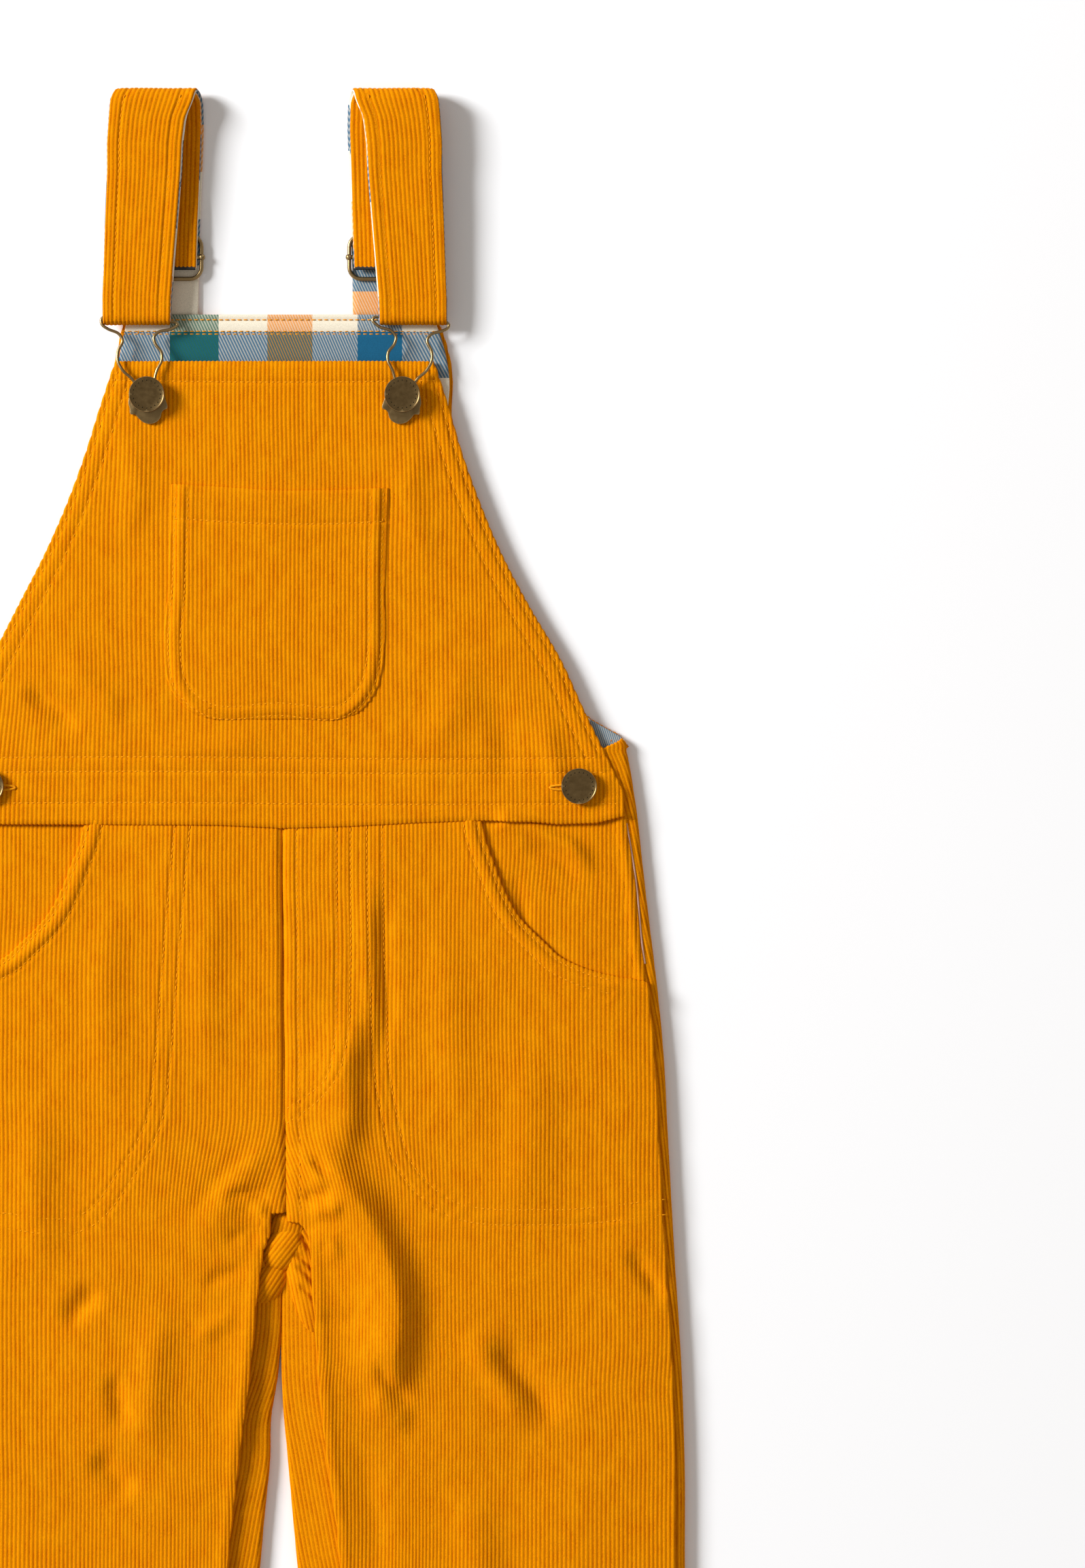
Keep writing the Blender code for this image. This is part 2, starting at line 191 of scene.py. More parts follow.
def layOut(rows, leftEdge, rightEdge, step):
    # points (u, v), triangles and the outline of a sheet between two edges, with its columns at whole steps
    us, vs, faces = [], [], []
    count = 0
    chains = []

    def add(u, v):
        nonlocal count
        us.append(np.asarray(u, float))
        vs.append(np.asarray(v, float) + np.zeros(len(u)))
        count += len(u)
        return list(range(count - len(u), count))

    ends = [(float(leftEdge(v)), float(rightEdge(v))) for v in rows]
    for v, (low, high) in zip(rows, ends):
        inner = np.arange(math.ceil(low / step + 0.3), math.floor(high / step - 0.3) + 1) * step
        chains.append(add(np.concatenate([[low], inner, [high]]), v))

    def crossings(start, stop, v0, v1):
        # where whole columns cross the edge between two rows
        low, high = min(start, stop), max(start, stop)
        u = np.arange(math.ceil(low / step + 0.3), math.floor(high / step - 0.3) + 1) * step
        return add(u, v0 + (v1 - v0) * (u - start) / (stop - start)) if len(u) else []

    leftSide, rightSide = [chains[0][0]], [chains[0][-1]]
    for k in range(len(rows) - 1):
        a, b = chains[k], chains[k + 1]
        v0, v1 = rows[k], rows[k + 1]
        lowCross = crossings(ends[k][0], ends[k + 1][0], v0, v1)
        highCross = crossings(ends[k][1], ends[k + 1][1], v0, v1)
        lower, upper = list(a), list(b)
        if ends[k + 1][0] >= ends[k][0]:
            upper = [a[0]] + lowCross + upper
            leftSide += lowCross + [b[0]]
        else:
            lower = [b[0]] + lowCross + lower
            leftSide += lowCross[::-1] + [b[0]]
        if ends[k + 1][1] <= ends[k][1]:
            upper = upper + highCross + [a[-1]]
            rightSide += highCross[::-1] + [b[-1]]
        else:
            lower = lower + highCross + [b[-1]]
            rightSide += highCross + [b[-1]]
        flat = np.concatenate(us)
        faces += chainBetween(lower, upper, flat)
    outline = chains[0][:-1] + rightSide[:-1] + chains[-1][::-1][:-1] + leftSide[::-1][:-1]
    return np.concatenate(us), np.concatenate(vs), np.array(faces), np.array(outline)


def normalsOf(points, faces):
    sides = points[faces]
    normal = np.cross(sides[:, 1] - sides[:, 0], sides[:, 2] - sides[:, 0])
    total = np.zeros_like(points)
    for k in range(3):
        for axis in range(3):
            total[:, axis] += np.bincount(faces[:, k], normal[:, axis], len(points))
    return total / np.maximum(np.linalg.norm(total, axis=1, keepdims=True), 1e-12)


def waleHeight(u):
    # 0 in the valley between two wales and 1 on a wale's crest
    return np.abs(np.sin(math.pi * u / corduroy["pitch"])) ** 0.7


def addObject(name, data):
    item = bpy.data.objects.new(name, data)
    bpy.context.scene.collection.objects.link(item)
    return item


def pick(item):
    bpy.ops.object.select_all(action="DESELECT")
    item.select_set(True)
    bpy.context.view_layer.objects.active = item


def addMesh(name, points, faces, uv, material):
    mesh = bpy.data.meshes.new(name)
    mesh.vertices.add(len(points))
    inFrame = np.array(points, float)
    inFrame[:, 0] += originX
    inFrame[:, 1] += originY
    # nothing sinks into the floor that it lies on
    inFrame[:, 2] = np.maximum(inFrame[:, 2], 0)
    mesh.vertices.foreach_set("co", (inFrame / 1000).ravel())
    mesh.loops.add(len(faces) * 3)
    mesh.loops.foreach_set("vertex_index", faces.ravel())
    mesh.polygons.add(len(faces))
    mesh.polygons.foreach_set("loop_start", np.arange(0, len(faces) * 3, 3))
    mesh.update(calc_edges=True)
    layer = mesh.uv_layers.new(name="cloth")
    layer.data.foreach_set("uv", (uv[faces.ravel()] / 1000).ravel())
    mesh.polygons.foreach_set("use_smooth", np.ones(len(faces), bool))
    mesh.materials.append(material)
    return addObject(name, mesh)


# each sheet's width, length and area as it was cut, in metres
cutSizes = {}


def makeSheet(name, rows, leftEdge, rightEdge, surface, material, step, cloth, ribs=True, lip=5.0,
              flip=False, lines=(), groove=0.28, sink=0.0, ribShift=0.0, uvShift=(0.0, 0.0)):
    # surface gives a point for each (u, v); lines are stitched seams, as points in x, y
    u, v, faces, outline = layOut(rows, leftEdge, rightEdge, step)
    points = surface(u, v)
    if flip:
        faces = faces[:, ::-1]
    normal = normalsOf(points, faces)
    ribDepth = corduroy["depth"] if ribs else 0.0
    wale = waleHeight(u + ribShift) if ribs else np.ones(len(u))
    out = ribDepth * (wale - 1) - sink
    for line in lines:
        away, _, _ = toLine(points[:, 0], points[:, 1], line)
        out = out - groove * np.exp(-((away / 0.75) ** 2)) + 0.12 * np.exp(-(((away - 1.9) / 1.1) ** 2))
    # which way the outline faces, in cloth coordinates
    edgeU, edgeV = u[outline], v[outline]
    cutArea = abs(float(np.sum(edgeU * np.roll(edgeV, -1) - edgeV * np.roll(edgeU, -1)))) / 2e6
    cutSizes[name] = (float(np.ptp(edgeU)) / 1000, float(np.ptp(edgeV)) / 1000, cutArea)
    du = np.roll(edgeU, -2) - np.roll(edgeU, 2)
    dv = np.roll(edgeV, -2) - np.roll(edgeV, 2)
    length = np.maximum(np.hypot(du, dv), 1e-9)
    outU, outV = dv / length, -du / length
    nudge = 0.4
    base = points[outline]
    ahead = surface(edgeU + outU * nudge, edgeV + outV * nudge)
    behind = surface(edgeU - outU * nudge, edgeV - outV * nudge)
    outward = ahead - behind
    edgeNormal = normal[outline]
    outward -= edgeNormal * (outward * edgeNormal).sum(axis=1, keepdims=True)
    outward /= np.maximum(np.linalg.norm(outward, axis=1, keepdims=True), 1e-9)
    points = points + normal * out[:, None]
    wave = (wale[outline] - 0.5)[:, None] * (0.4 if ribs else 0.0)
    rings = [(0.30, 0.30), (0.42, 0.62), (0.05, 0.97), (-lip, 1.0)]
    allPoints, allU, allV = [points], [u], [v]
    count = len(u)
    edge = len(outline)
    here = outline
    for reach, drop in rings:
        way = reach + (wave if reach > 0.2 else 0.0)
        allPoints.append(base + outward * way - edgeNormal * (drop * cloth + sink))
        allU.append(edgeU + outU * reach)
        allV.append(edgeV + outV * reach)
        new = np.arange(count, count + edge)
        count += edge
        after, afterNew = np.roll(here, -1), np.roll(new, -1)
        band = np.concatenate([np.stack([here, new, afterNew], 1), np.stack([here, afterNew, after], 1)])
        faces = np.concatenate([faces, band[:, ::-1] if flip else band])
        here = new
    uv = np.stack([np.concatenate(allU) + ribShift + uvShift[0], np.concatenate(allV) + uvShift[1]], axis=1)
    return addMesh(name, np.concatenate(allPoints), faces, uv, material)


def finishPiece(piece, slot, *nodes):
    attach(piece, "root")
    if nodes:
        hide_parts(*nodes)
    return piece


# outlines, in millimetres from the waist seam; legs from their centre seams

bibLeft = curveThrough([(0, -155.2), (12.2, -156.2), (32.2, -150.6), (48.8, -143.6), (73.8, -132.0),
                        (98.8, -119.4), (123.8, -106.6), (148.8, -95.8), (173.8, -86.9),
                        (186.2, -83.1), (210.6, -75.0)])
bibRight = curveThrough([(0, 158.9), (12.2, 157.8), (22.5, 153.6), (32.2, 149.1), (48.8, 140.9),
                         (73.8, 129.4), (98.8, 114.7), (123.8, 101.6), (148.8, 91.2), (173.8, 82.5),
                         (186.2, 79.0), (210.6, 71.2)])
backLeft = curveThrough([(0, -161.3), (13.1, -159.4), (30.6, -156.3), (37.5, -154.4), (41.0, -148.5),
                         (46.0, -140.2), (55.0, -136.5), (73.8, -127.5), (98.8, -114.5),
                         (148.8, -91.5), (186.0, -79.0), (201.9, -76.6), (223.8, -72.5),
                         (232.0, -70.6)])
backRight = curveThrough([(0, 165.3), (13.1, 163.4), (30.6, 160.3), (37.5, 158.4), (41.0, 152.5),
                          (46.0, 143.6), (55.0, 136.0), (73.8, 126.5), (98.8, 111.5), (148.8, 88.5),
                          (186.0, 78.9), (201.9, 79.7), (223.8, 75.2), (232.0, 71.9)])
sideEdge = curveThrough([(hemY, 191.5), (-450, 187.5), (-342, 184.9), (-301, 184.9), (-251, 183.3),
                         (-201, 180.2), (-151, 177.4), (-101, 174.6), (-76.2, 172.1), (-45, 168.3),
                         (-5.9, 163.9), (0, 163.3)])
scoopEdge = curveThrough([(-75, 169.5), (-73.2, 159), (-70.3, 145.6), (-65, 131.2), (-55.6, 119.4),
                          (-44.7, 108.7), (-32.8, 101.9), (-20.6, 97.2), (-10, 93.1), (0, 90.7)])
openingEdge = curveThrough([(-75, 167.6), (-63.8, 165.5), (-25.6, 161.4), (0, 157.1)])
centreSeam = curveThrough([(-187, 1.6), (-130, 1.0), (-60, 0.2), (0, -0.4)])
legShapes = {
    "right": {
        "inseam": curveThrough([(hemY, 46), (-500, 41), (-400, 32), (-342.5, 26.7), (-315, 23.9),
                                (-291, 20.4), (-256, 16.9), (-230, 15.0), (-191, 12.2), (-180, 11.2)]),
        "lobe": curveThrough([(hemY, 40), (-500, 30), (-400, 14), (-342.5, 6.4), (-319, 4.2),
                              (-293, 1.9), (-272, 0.0), (-260, -0.7), (-246, -1.0), (-170, -0.9)]),
        "crotch": -187.5,
    },
    "left": {
        "inseam": curveThrough([(hemY, 45), (-500, 40), (-400, 31), (-329.7, 24.2), (-287.8, 19.5),
                                (-252.5, 14.8), (-220.3, 12.0), (-209, 10.5), (-196, 8.4),
                                (-190, 5.9), (-180, 5.2)]),
        "lobe": curveThrough([(hemY, 41), (-500, 31), (-400, 17), (-342.5, 10.5), (-319, 8.4),
                              (-293, 5.9), (-276, 5.6), (-256, 2.4), (-243, 1.2), (-170, 1.0)]),
        "crotch": -181.0,
    },
}

# how the front lies: a low crown between the sides, and its folds

lie = {
    "sideHeight": 7.0,
    "bibHeight": 6.0,
    "crown": 1.5,
    "crownReach": 16.0,
    "unevenness": 0.42,
}


def crease(height, left, right, *line, **more):
    # a ridge, or a trough below 0, with its width on the left and the right of the way it runs
    return {"line": line, "height": height, "left": left, "right": right, **more}


frontFolds = [
    # the deep fold from the crotch down the right leg
    crease(7.5, 8.5, 17.0, (12, -138), (18.9, -150.5), (28, -165), (37.2, -176.6), (45, -191), (50.6, -204),
           (53.8, -217), (54.4, -230), (53.2, -243), (51.6, -256), (49, -268), (45, -279), taper=0.27),
    crease(-1.9, 3.6, 3.6, (44, -246), (50, -257), (57, -264), (64, -265)),
    crease(1.6, 5.0, 6.0, (40, -262), (52, -273), (64, -276)),
    crease(3.8, 7.5, 13.0, (38, -80), (33, -104), (31, -117), (32, -136), (29, -152), (26, -164)),
    crease(-1.5, 4.0, 4.5, (50, -20), (49, -60), (50, -95), (44, -120)),
    crease(1.2, 6.0, 5.0, (40, -20), (41, -60), (42, -100)),
    # short creases round the crotch
    crease(1.5, 3.0, 3.0, (6, -151), (16, -160), (22, -170)),
    crease(-1.5, 2.2, 2.2, (15, -155), (24, -163)),
    crease(-2.0, 2.4, 2.2, (8, -174), (20, -172), (28, -169)),
    crease(2.0, 3.4, 3.0, (14, -182), (22, -178), (31, -180)),
    crease(2.0, 4.0, 4.0, (13, -190), (24, -192), (27, -204)),
    crease(-0.9, 3.0, 3.0, (18, -226), (30, -230), (40, -229)),
    crease(1.6, 8.0, 9.0, (4, -138), (-8, -152), (-17.5, -164), (-28.8, -182), (-40, -200)),
    crease(-0.9, 4.0, 5.0, (-6, -142), (-17, -154), (-30, -168), (-42, -186)),
    crease(-1.7, 2.0, 2.4, (-26, -173.5), (-17, -171), (-9, -171.5), (-2, -176)),
    crease(1.6, 3.5, 3.5, (-14, -177), (-6, -181), (-4, -190)),
    crease(-1.2, 2.6, 3.0, (-26, -193), (-14, -190), (-6, -196)),
    crease(-1.3, 3.2, 3.0, (-36, -214), (-22, -208), (-12, -206)),
    crease(1.2, 4.0, 4.5, (-40, -240), (-26, -230), (-16, -227)),
    # shallow troughs and rises further down
    crease(-3.0, 8.0, 5.0, (96, -236), (112, -256), (131, -278)),
    crease(2.2, 9.0, 6.0, (84, -232), (100, -256), (118, -282)),
    crease(-2.0, 4.0, 4.0, (160, -196), (170, -210), (178, -223)),
    crease(-2.4, 4.5, 6.0, (-81, -213), (-99, -233)),
    crease(-2.2, 4.0, 5.0, (-76, -252), (-70, -282)),
    crease(-2.5, 5.0, 6.0, (-86, -290), (-64, -311)),
    crease(2.0, 9.0, 9.0, (-52, -214), (-58, -250), (-60, -300)),
    crease(1.5, 10.0, 9.0, (-108, -120), (-112, -170), (-106, -220)),
    crease(1.3, 12.0, 4.0, (12, -190), (15, -217), (21, -290), (28, -342)),
    crease(1.3, 5.0, 7.0, (-8, -196), (-12, -230), (-22, -310)),
    crease(-1.3, 6.0, 8.0, (36, -280), (44, -320), (46, -360)),
    crease(1.8, 10.0, 10.0, (84, -300), (92, -340), (88, -380)),
    crease(1.2, 12.0, 10.0, (112, -90), (116, -140), (108, -190)),
    crease(0.9, 9.0, 8.0, (74, -30), (78, -90), (84, -150)),
    crease(1.0, 9.0, 8.0, (-74, -20), (-80, -80), (-76, -140)),
    crease(1.0, 9.0, 7.0, (-30, -20), (-34, -80), (-30, -130)),
    # hip pieces
    crease(2.6, 4.0, 4.5, (105, -1), (122, -6), (136, -13), (146, -26), open="start"),
    crease(-1.2, 3.5, 3.5, (110, -12), (126, -16), (140, -30)),
    crease(-0.9, 3.5, 3.5, (106, -22), (112, -38), (113, -52)),
    # bib
    crease(-2.2, 3.5, 5.0, (-118, 62), (-104, 52), (-90, 40)),
    crease(1.3, 6.0, 6.0, (-104, 74), (-84, 60), (-70, 44)),
    crease(1.3, 6.0, 6.0, (118, 50), (126, 30), (130, 8)),
    crease(-1.0, 7.0, 6.0, (96, 62), (104, 36), (104, 12)),
    crease(0.9, 6.0, 6.0, (-62, 36), (-30, 33), (0, 38)),
    crease(0.9, 8.0, 8.0, (64, 30), (80, 50), (86, 80)),
    crease(1.0, 7.0, 7.0, (-74, 190), (-66, 160), (-72, 120)),
    crease(0.9, 7.0, 7.0, (66, 180), (60, 150), (70, 110)),
    # below the knee
    crease(3.2, 9.0, 7.0, (-70, -395), (-88, -440), (-92, -480)),
    crease(-2.0, 7.0, 7.0, (-150, -430), (-130, -480)),
    crease(-1.6, 6.0, 8.0, (-60, -520), (-95, -560)),
    crease(2.8, 7.0, 10.0, (82, -380), (98, -420), (120, -450)),
    crease(-2.0, 6.0, 6.0, (150, -350), (128, -392)),
    crease(-1.8, 7.0, 6.0, (70, -500), (90, -545), (96, -575)),
]


def frontHeight(x, y):
    onBib = y > 0
    edge = np.where(onBib, bibRight(y), seamCentre + sideEdge(y))
    middle = np.where(onBib, (bibLeft(y) + bibRight(y)) / 2, seamCentre)
    inwards = np.maximum(0, edge - middle - np.abs(x - middle))
    height = np.interp(y, [0, 60], [lie["sideHeight"], lie["bibHeight"]])
    height = height + lie["crown"] * (1 - np.exp(-inwards / lie["crownReach"]))
    soft = 1 - np.exp(-inwards / 25)
    height = height + lie["unevenness"] * soft * (ripple(x, y, 95, 3) + 0.5 * ripple(x, y * 0.6, 38, 4))
    return height + foldHeight(x, y, frontFolds)


# the wales bend where the cloth rises: how much cloth lies between a piece's middle and a point
slackShare = 0.6
gridX = np.arange(-200.0, 201.0, 1.0)
gridY = np.arange(-606.0, 242.0, 3.0)
heightGrid = frontHeight(*np.meshgrid(gridX, gridY))
extra = slackShare * (np.sqrt(1 + np.gradient(heightGrid, gridX, axis=1) ** 2) - 1)
slackGrid = np.cumsum(extra, axis=1)
smoothing = np.exp(-((np.arange(-4, 5) / 2.2) ** 2))
smoothing /= smoothing.sum()
slackGrid = np.apply_along_axis(lambda c: np.convolve(np.pad(c, 4, "edge"), smoothing, "valid"), 0, slackGrid)
anchors = {"bib": 0, "right": 104, "left": -100}
slackGrids = {which: slackGrid - slackGrid[:, [x + 200]] for which, x in anchors.items()}
slackGrids["bib"] *= 0.5

# how far the wales are drawn aside: its middle and reach across, where it starts and ends on the
# way down, and how far
drawnAside = {
    "bib": [
        {"x": -150, "across": 45, "from": 80, "to": 5, "by": 6.0},
        {"x": 150, "across": 45, "from": 90, "to": 10, "by": -6.0},
        {"x": -88, "across": 26, "from": 205, "to": 130, "by": 2.4},
        {"x": 84, "across": 26, "from": 205, "to": 130, "by": -2.4},
    ],
    "right": [
        {"x": 4, "across": 44, "from": -134, "to": -186, "by": -12.0},
        {"x": 52, "across": 16, "from": -245, "to": -275, "by": -2.5},
        {"x": 120, "across": 30, "from": -10, "to": -40, "by": 1.6},
    ],
    "left": [
        {"x": -2, "across": 44, "from": -134, "to": -186, "by": 11.0},
        {"x": -130, "across": 40, "from": -8, "to": -80, "by": 2.0},
        {"x": -66, "across": 22, "from": -205, "to": -260, "by": 2.0},
    ],
}


def slackAt(x, y, which):
    grid = slackGrids[which]
    i = np.clip(x - gridX[0], 0, len(gridX) - 1.001)
    j = np.clip((y - gridY[0]) / 3.0, 0, len(gridY) - 1.001)
    i0, j0 = i.astype(int), j.astype(int)
    s, t = i - i0, j - j0
    low = grid[j0, i0] * (1 - s) + grid[j0, i0 + 1] * s
    high = grid[j0 + 1, i0] * (1 - s) + grid[j0 + 1, i0 + 1] * s
    total = low * (1 - t) + high * t + 0.4 * ripple(x * 0.3, y, 60, 8)
    for pull in drawnAside[which]:
        share = np.clip((pull["from"] - y) / (pull["from"] - pull["to"]), 0, 1)
        share = share * share * (3 - 2 * share)
        total = total + pull["by"] * share * np.exp(-(((x - pull["x"]) / pull["across"]) ** 2))
    return total


def clothU(x, y, which):
    x, y = np.asarray(x, float), np.asarray(y, float)
    return x + slackAt(x, y, which)


seamRise = ([-160, -28, 1.5, 32, 63, 92, 116, 128, 146, 158],
            [-0.4, -1.1, -2.5, -1.7, 0.0, 1.1, 0.9, -0.5, 0.0, 3.1])


def waistBend(x, y):
    # the waist seam isn't quite straight
    return np.interp(x, *seamRise) * np.exp(-((y / 16.0) ** 2))


def frontSurface(which, lift=0.0, bend=waistBend):
    def surface(u, v):
        x = u.copy()
        for _ in range(14):
            x = 0.3 * x + 0.7 * (u - slackAt(x, v, which))
        y = v + bend(x, v)
        extraLift = lift(x, v) if callable(lift) else lift
        return np.stack([x, y, frontHeight(x, v) + extraLift], axis=1)
    return surface


def inCloth(edge, which):
    return lambda v: clothU(edge(v), v, which)


def rowsBetween(low, high, spacing, fine=(), lowSpacing=None, lowEnd=-350.0):
    # row places from low to high, with closer rows at the stitched lines that run across
    if lowSpacing and low < lowEnd:
        rows = list(np.linspace(low, lowEnd, int((lowEnd - low) / lowSpacing), endpoint=False))
        rows += list(np.arange(lowEnd, high, spacing))
    else:
        rows = list(np.arange(low, high, spacing))
    rows = [r for r in rows if high - r > spacing * 0.4] + [high]
    for place in fine:
        rows = [r for r in rows if abs(r - place) > 1.9 or r in (low, high)]
        rows += [place + d for d in (-1.5, -0.7, 0.0, 0.7, 1.5) if low < place + d < high]
    return sorted(set(rows))


# materials


def linear(red, green, blue):
    # a colour as seen on a screen, 0 to 255, as the shader's numbers
    channels = [c / 255 for c in (red, green, blue)]
    return tuple(c / 12.92 if c <= 0.04045 else ((c + 0.055) / 1.055) ** 2.4 for c in channels) + (1.0,)


def newMaterial(name):
    material = bpy.data.materials.new(name)
    material.use_nodes = True
    tree = material.node_tree
    return material, tree, tree.nodes["Principled BSDF"]


def addNode(tree, kind, values=None, **settings):
    node = tree.nodes.new(kind)
    for key, value in settings.items():
        setattr(node, key, value)
    for key, value in (values or {}).items():
        node.inputs[key].default_value = value
    return node


def mathNode(tree, operation, first, second=None, third=None):
    node = addNode(tree, "ShaderNodeMath", operation=operation)
    for socket, value in zip(node.inputs, (first, second, third)):
        if value is None:
            continue
        if isinstance(value, (int, float)):
            socket.default_value = value
        else:
            tree.links.new(value, socket)
    return node.outputs[0]


def mixColour(tree, factor, first, second, blend="MIX"):
    node = addNode(tree, "ShaderNodeMix", data_type="RGBA", blend_type=blend)
    for socket, value in ((node.inputs[0], factor), (node.inputs[6], first), (node.inputs[7], second)):
        if isinstance(value, (int, float, tuple)):
            socket.default_value = value
        else:
            tree.links.new(value, socket)
    return node.outputs[2]


def makeFibreGroup():
    # fine pile or thread ends: a shade between 0 and 1, and the normal that goes with it
    group = bpy.data.node_groups.new("fibres", "ShaderNodeTree")
    group.interface.new_socket("Place", in_out="INPUT", socket_type="NodeSocketVector")
    group.interface.new_socket("Scale", in_out="INPUT", socket_type="NodeSocketFloat")
    group.interface.new_socket("Depth", in_out="INPUT", socket_type="NodeSocketFloat")
    group.interface.new_socket("Shade", in_out="OUTPUT", socket_type="NodeSocketFloat")
    group.interface.new_socket("Normal", in_out="OUTPUT", socket_type="NodeSocketVector")
    start = addNode(group, "NodeGroupInput")
    end = addNode(group, "NodeGroupOutput")
    noise = addNode(group, "ShaderNodeTexNoise", {"Detail": 2.0, "Roughness": 0.65})
    bump = addNode(group, "ShaderNodeBump", {"Strength": 0.5})
    group.links.new(start.outputs["Place"], noise.inputs["Vector"])
    group.links.new(start.outputs["Scale"], noise.inputs["Scale"])
    group.links.new(start.outputs["Depth"], bump.inputs["Distance"])
    group.links.new(noise.outputs["Fac"], bump.inputs["Height"])
    group.links.new(noise.outputs["Fac"], end.inputs["Shade"])
    group.links.new(bump.outputs["Normal"], end.inputs["Normal"])
    return group


def useFibres(tree, group, place, scale, depth):
    node = addNode(tree, "ShaderNodeGroup", node_tree=group)
    tree.links.new(place, node.inputs["Place"])
    node.inputs["Scale"].default_value = scale
    node.inputs["Depth"].default_value = depth
    return node


def makeCorduroyMaterial():
    material, tree, shader = newMaterial("orange corduroy")
    cloth = addNode(tree, "ShaderNodeUVMap", uv_map="cloth")
    place = addNode(tree, "ShaderNodeTexCoord").outputs["Object"]
    pile = useFibres(tree, fibreGroup, place, 2300.0, 0.00028)
    axes = addNode(tree, "ShaderNodeSeparateXYZ")
    tree.links.new(cloth.outputs["UV"], axes.inputs[0])
    # dark valleys between the wales, a little ragged: partly the ground weave's own darker colour, partly
    # painted shade in the grooves
    ragged = mathNode(tree, "MULTIPLY_ADD", pile.outputs["Shade"], 0.0009, -0.00045)
    across = mathNode(tree, "ADD", axes.outputs["X"], ragged)
    turn = mathNode(tree, "MULTIPLY", across, math.pi * 1000 / corduroy["pitch"])
    crest = mathNode(tree, "POWER", mathNode(tree, "ABSOLUTE", mathNode(tree, "SINE", turn)), 0.75)
    colour = mixColour(tree, crest, linear(170, 72, 0), linear(229, 138, 1))
    # the nap lies unevenly, in patches drawn out along the wales
    streakScale = addNode(tree, "ShaderNodeMapping", {"Scale": (2.2, 1.0, 1.0)})
    tree.links.new(cloth.outputs["UV"], streakScale.inputs["Vector"])
    patches = addNode(tree, "ShaderNodeTexNoise", {"Scale": 75.0, "Detail": 4.0, "Roughness": 0.7})
    tree.links.new(streakScale.outputs["Vector"], patches.inputs["Vector"])
    worn = mathNode(tree, "MULTIPLY_ADD", patches.outputs["Fac"], 1.5, -0.5)
    colour = mixColour(tree, worn, colour, linear(236, 153, 3))
    grain = mathNode(tree, "MULTIPLY_ADD", pile.outputs["Shade"], 2.0, -0.08)
    colour = mixColour(tree, 0.42, colour, grain, "MULTIPLY")
    tree.links.new(colour, shader.inputs["Base Color"])
    tree.links.new(pile.outputs["Normal"], shader.inputs["Normal"])
    shader.inputs["Roughness"].default_value = 0.95
    shader.inputs["Specular IOR Level"].default_value = 0.03
    shader.inputs["Sheen Weight"].default_value = 0.06
    shader.inputs["Sheen Roughness"].default_value = 0.45
    shader.inputs["Sheen Tint"].default_value = linear(255, 170, 10)
    return material


def makePlaidMaterial():
    material, tree, shader = newMaterial("plaid twill")
    cloth = addNode(tree, "ShaderNodeUVMap", uv_map="cloth")
    axes = addNode(tree, "ShaderNodeSeparateXYZ")
    tree.links.new(cloth.outputs["UV"], axes.inputs[0])
    cream, blue = linear(232, 224, 204), linear(18, 90, 126)
    green, orange = linear(30, 96, 78), linear(222, 142, 52)
    stripes = {
        "X": (0.5, [cream, green, cream, orange, cream, blue]),
        "Y": (-plaid["bandStart"] / (6 * plaid["stripe"]), [cream, orange, blue, cream, cream, blue]),
    }
    shades = {}
    for axis, (shift, colours) in stripes.items():
        turn = mathNode(tree, "MULTIPLY_ADD", axes.outputs[axis], 1000 / (6 * plaid["stripe"]), shift)
        ramp = addNode(tree, "ShaderNodeValToRGB")
        ramp.color_ramp.interpolation = "CONSTANT"
        elements = ramp.color_ramp.elements
        elements[1].position = 1 / 6
        for k in range(2, 6):
            elements.new(k / 6)
        for element, colour in zip(elements, colours):
            element.color = colour
        tree.links.new(mathNode(tree, "FRACT", turn), ramp.inputs[0])
        shades[axis] = ramp.outputs["Color"]
    # the twill's steep lines, which fall to the right
    lean = mathNode(tree, "MULTIPLY_ADD", axes.outputs["Y"], plaid["lean"], axes.outputs["X"])
    turn = mathNode(tree, "MULTIPLY", lean, math.tau * 1000 / plaid["twill"])
    line = mathNode(tree, "SINE", turn)
    weft = addNode(tree, "ShaderNodeMapRange",
                   {"From Min": -0.75, "From Max": 0.35, "To Min": 0.16, "To Max": 0.86})
    tree.links.new(line, weft.inputs["Value"])
    colour = mixColour(tree, weft.outputs[0], shades["X"], shades["Y"])
    darker = mixColour(tree, 1.0, shades["X"], shades["Y"], "DARKEN")
    colour = mixColour(tree, 0.45, colour, darker)
    place = addNode(tree, "ShaderNodeTexCoord").outputs["Object"]
    threads = useFibres(tree, fibreGroup, place, 2600.0, 0.0001)
    grain = mathNode(tree, "MULTIPLY_ADD", threads.outputs["Shade"], 0.6, 0.68)
    colour = mixColour(tree, 1.0, colour, grain, "MULTIPLY")
    tree.links.new(colour, shader.inputs["Base Color"])
    tree.links.new(threads.outputs["Normal"], shader.inputs["Normal"])
    shader.inputs["Roughness"].default_value = 0.85
    shader.inputs["Specular IOR Level"].default_value = 0.2
    return material


def makeThreadMaterial(name, colour):
    material, tree, shader = newMaterial(name)
    place = addNode(tree, "ShaderNodeTexCoord").outputs["Object"]
    threads = useFibres(tree, fibreGroup, place, 3000.0, 0.00005)
    shaded = tuple(c * 0.7 for c in colour[:3]) + (1.0,)
    tree.links.new(mixColour(tree, threads.outputs["Shade"], shaded, colour), shader.inputs["Base Color"])
    tree.links.new(threads.outputs["Normal"], shader.inputs["Normal"])
    shader.inputs["Roughness"].default_value = 0.85
    shader.inputs["Specular IOR Level"].default_value = 0.1
    return material


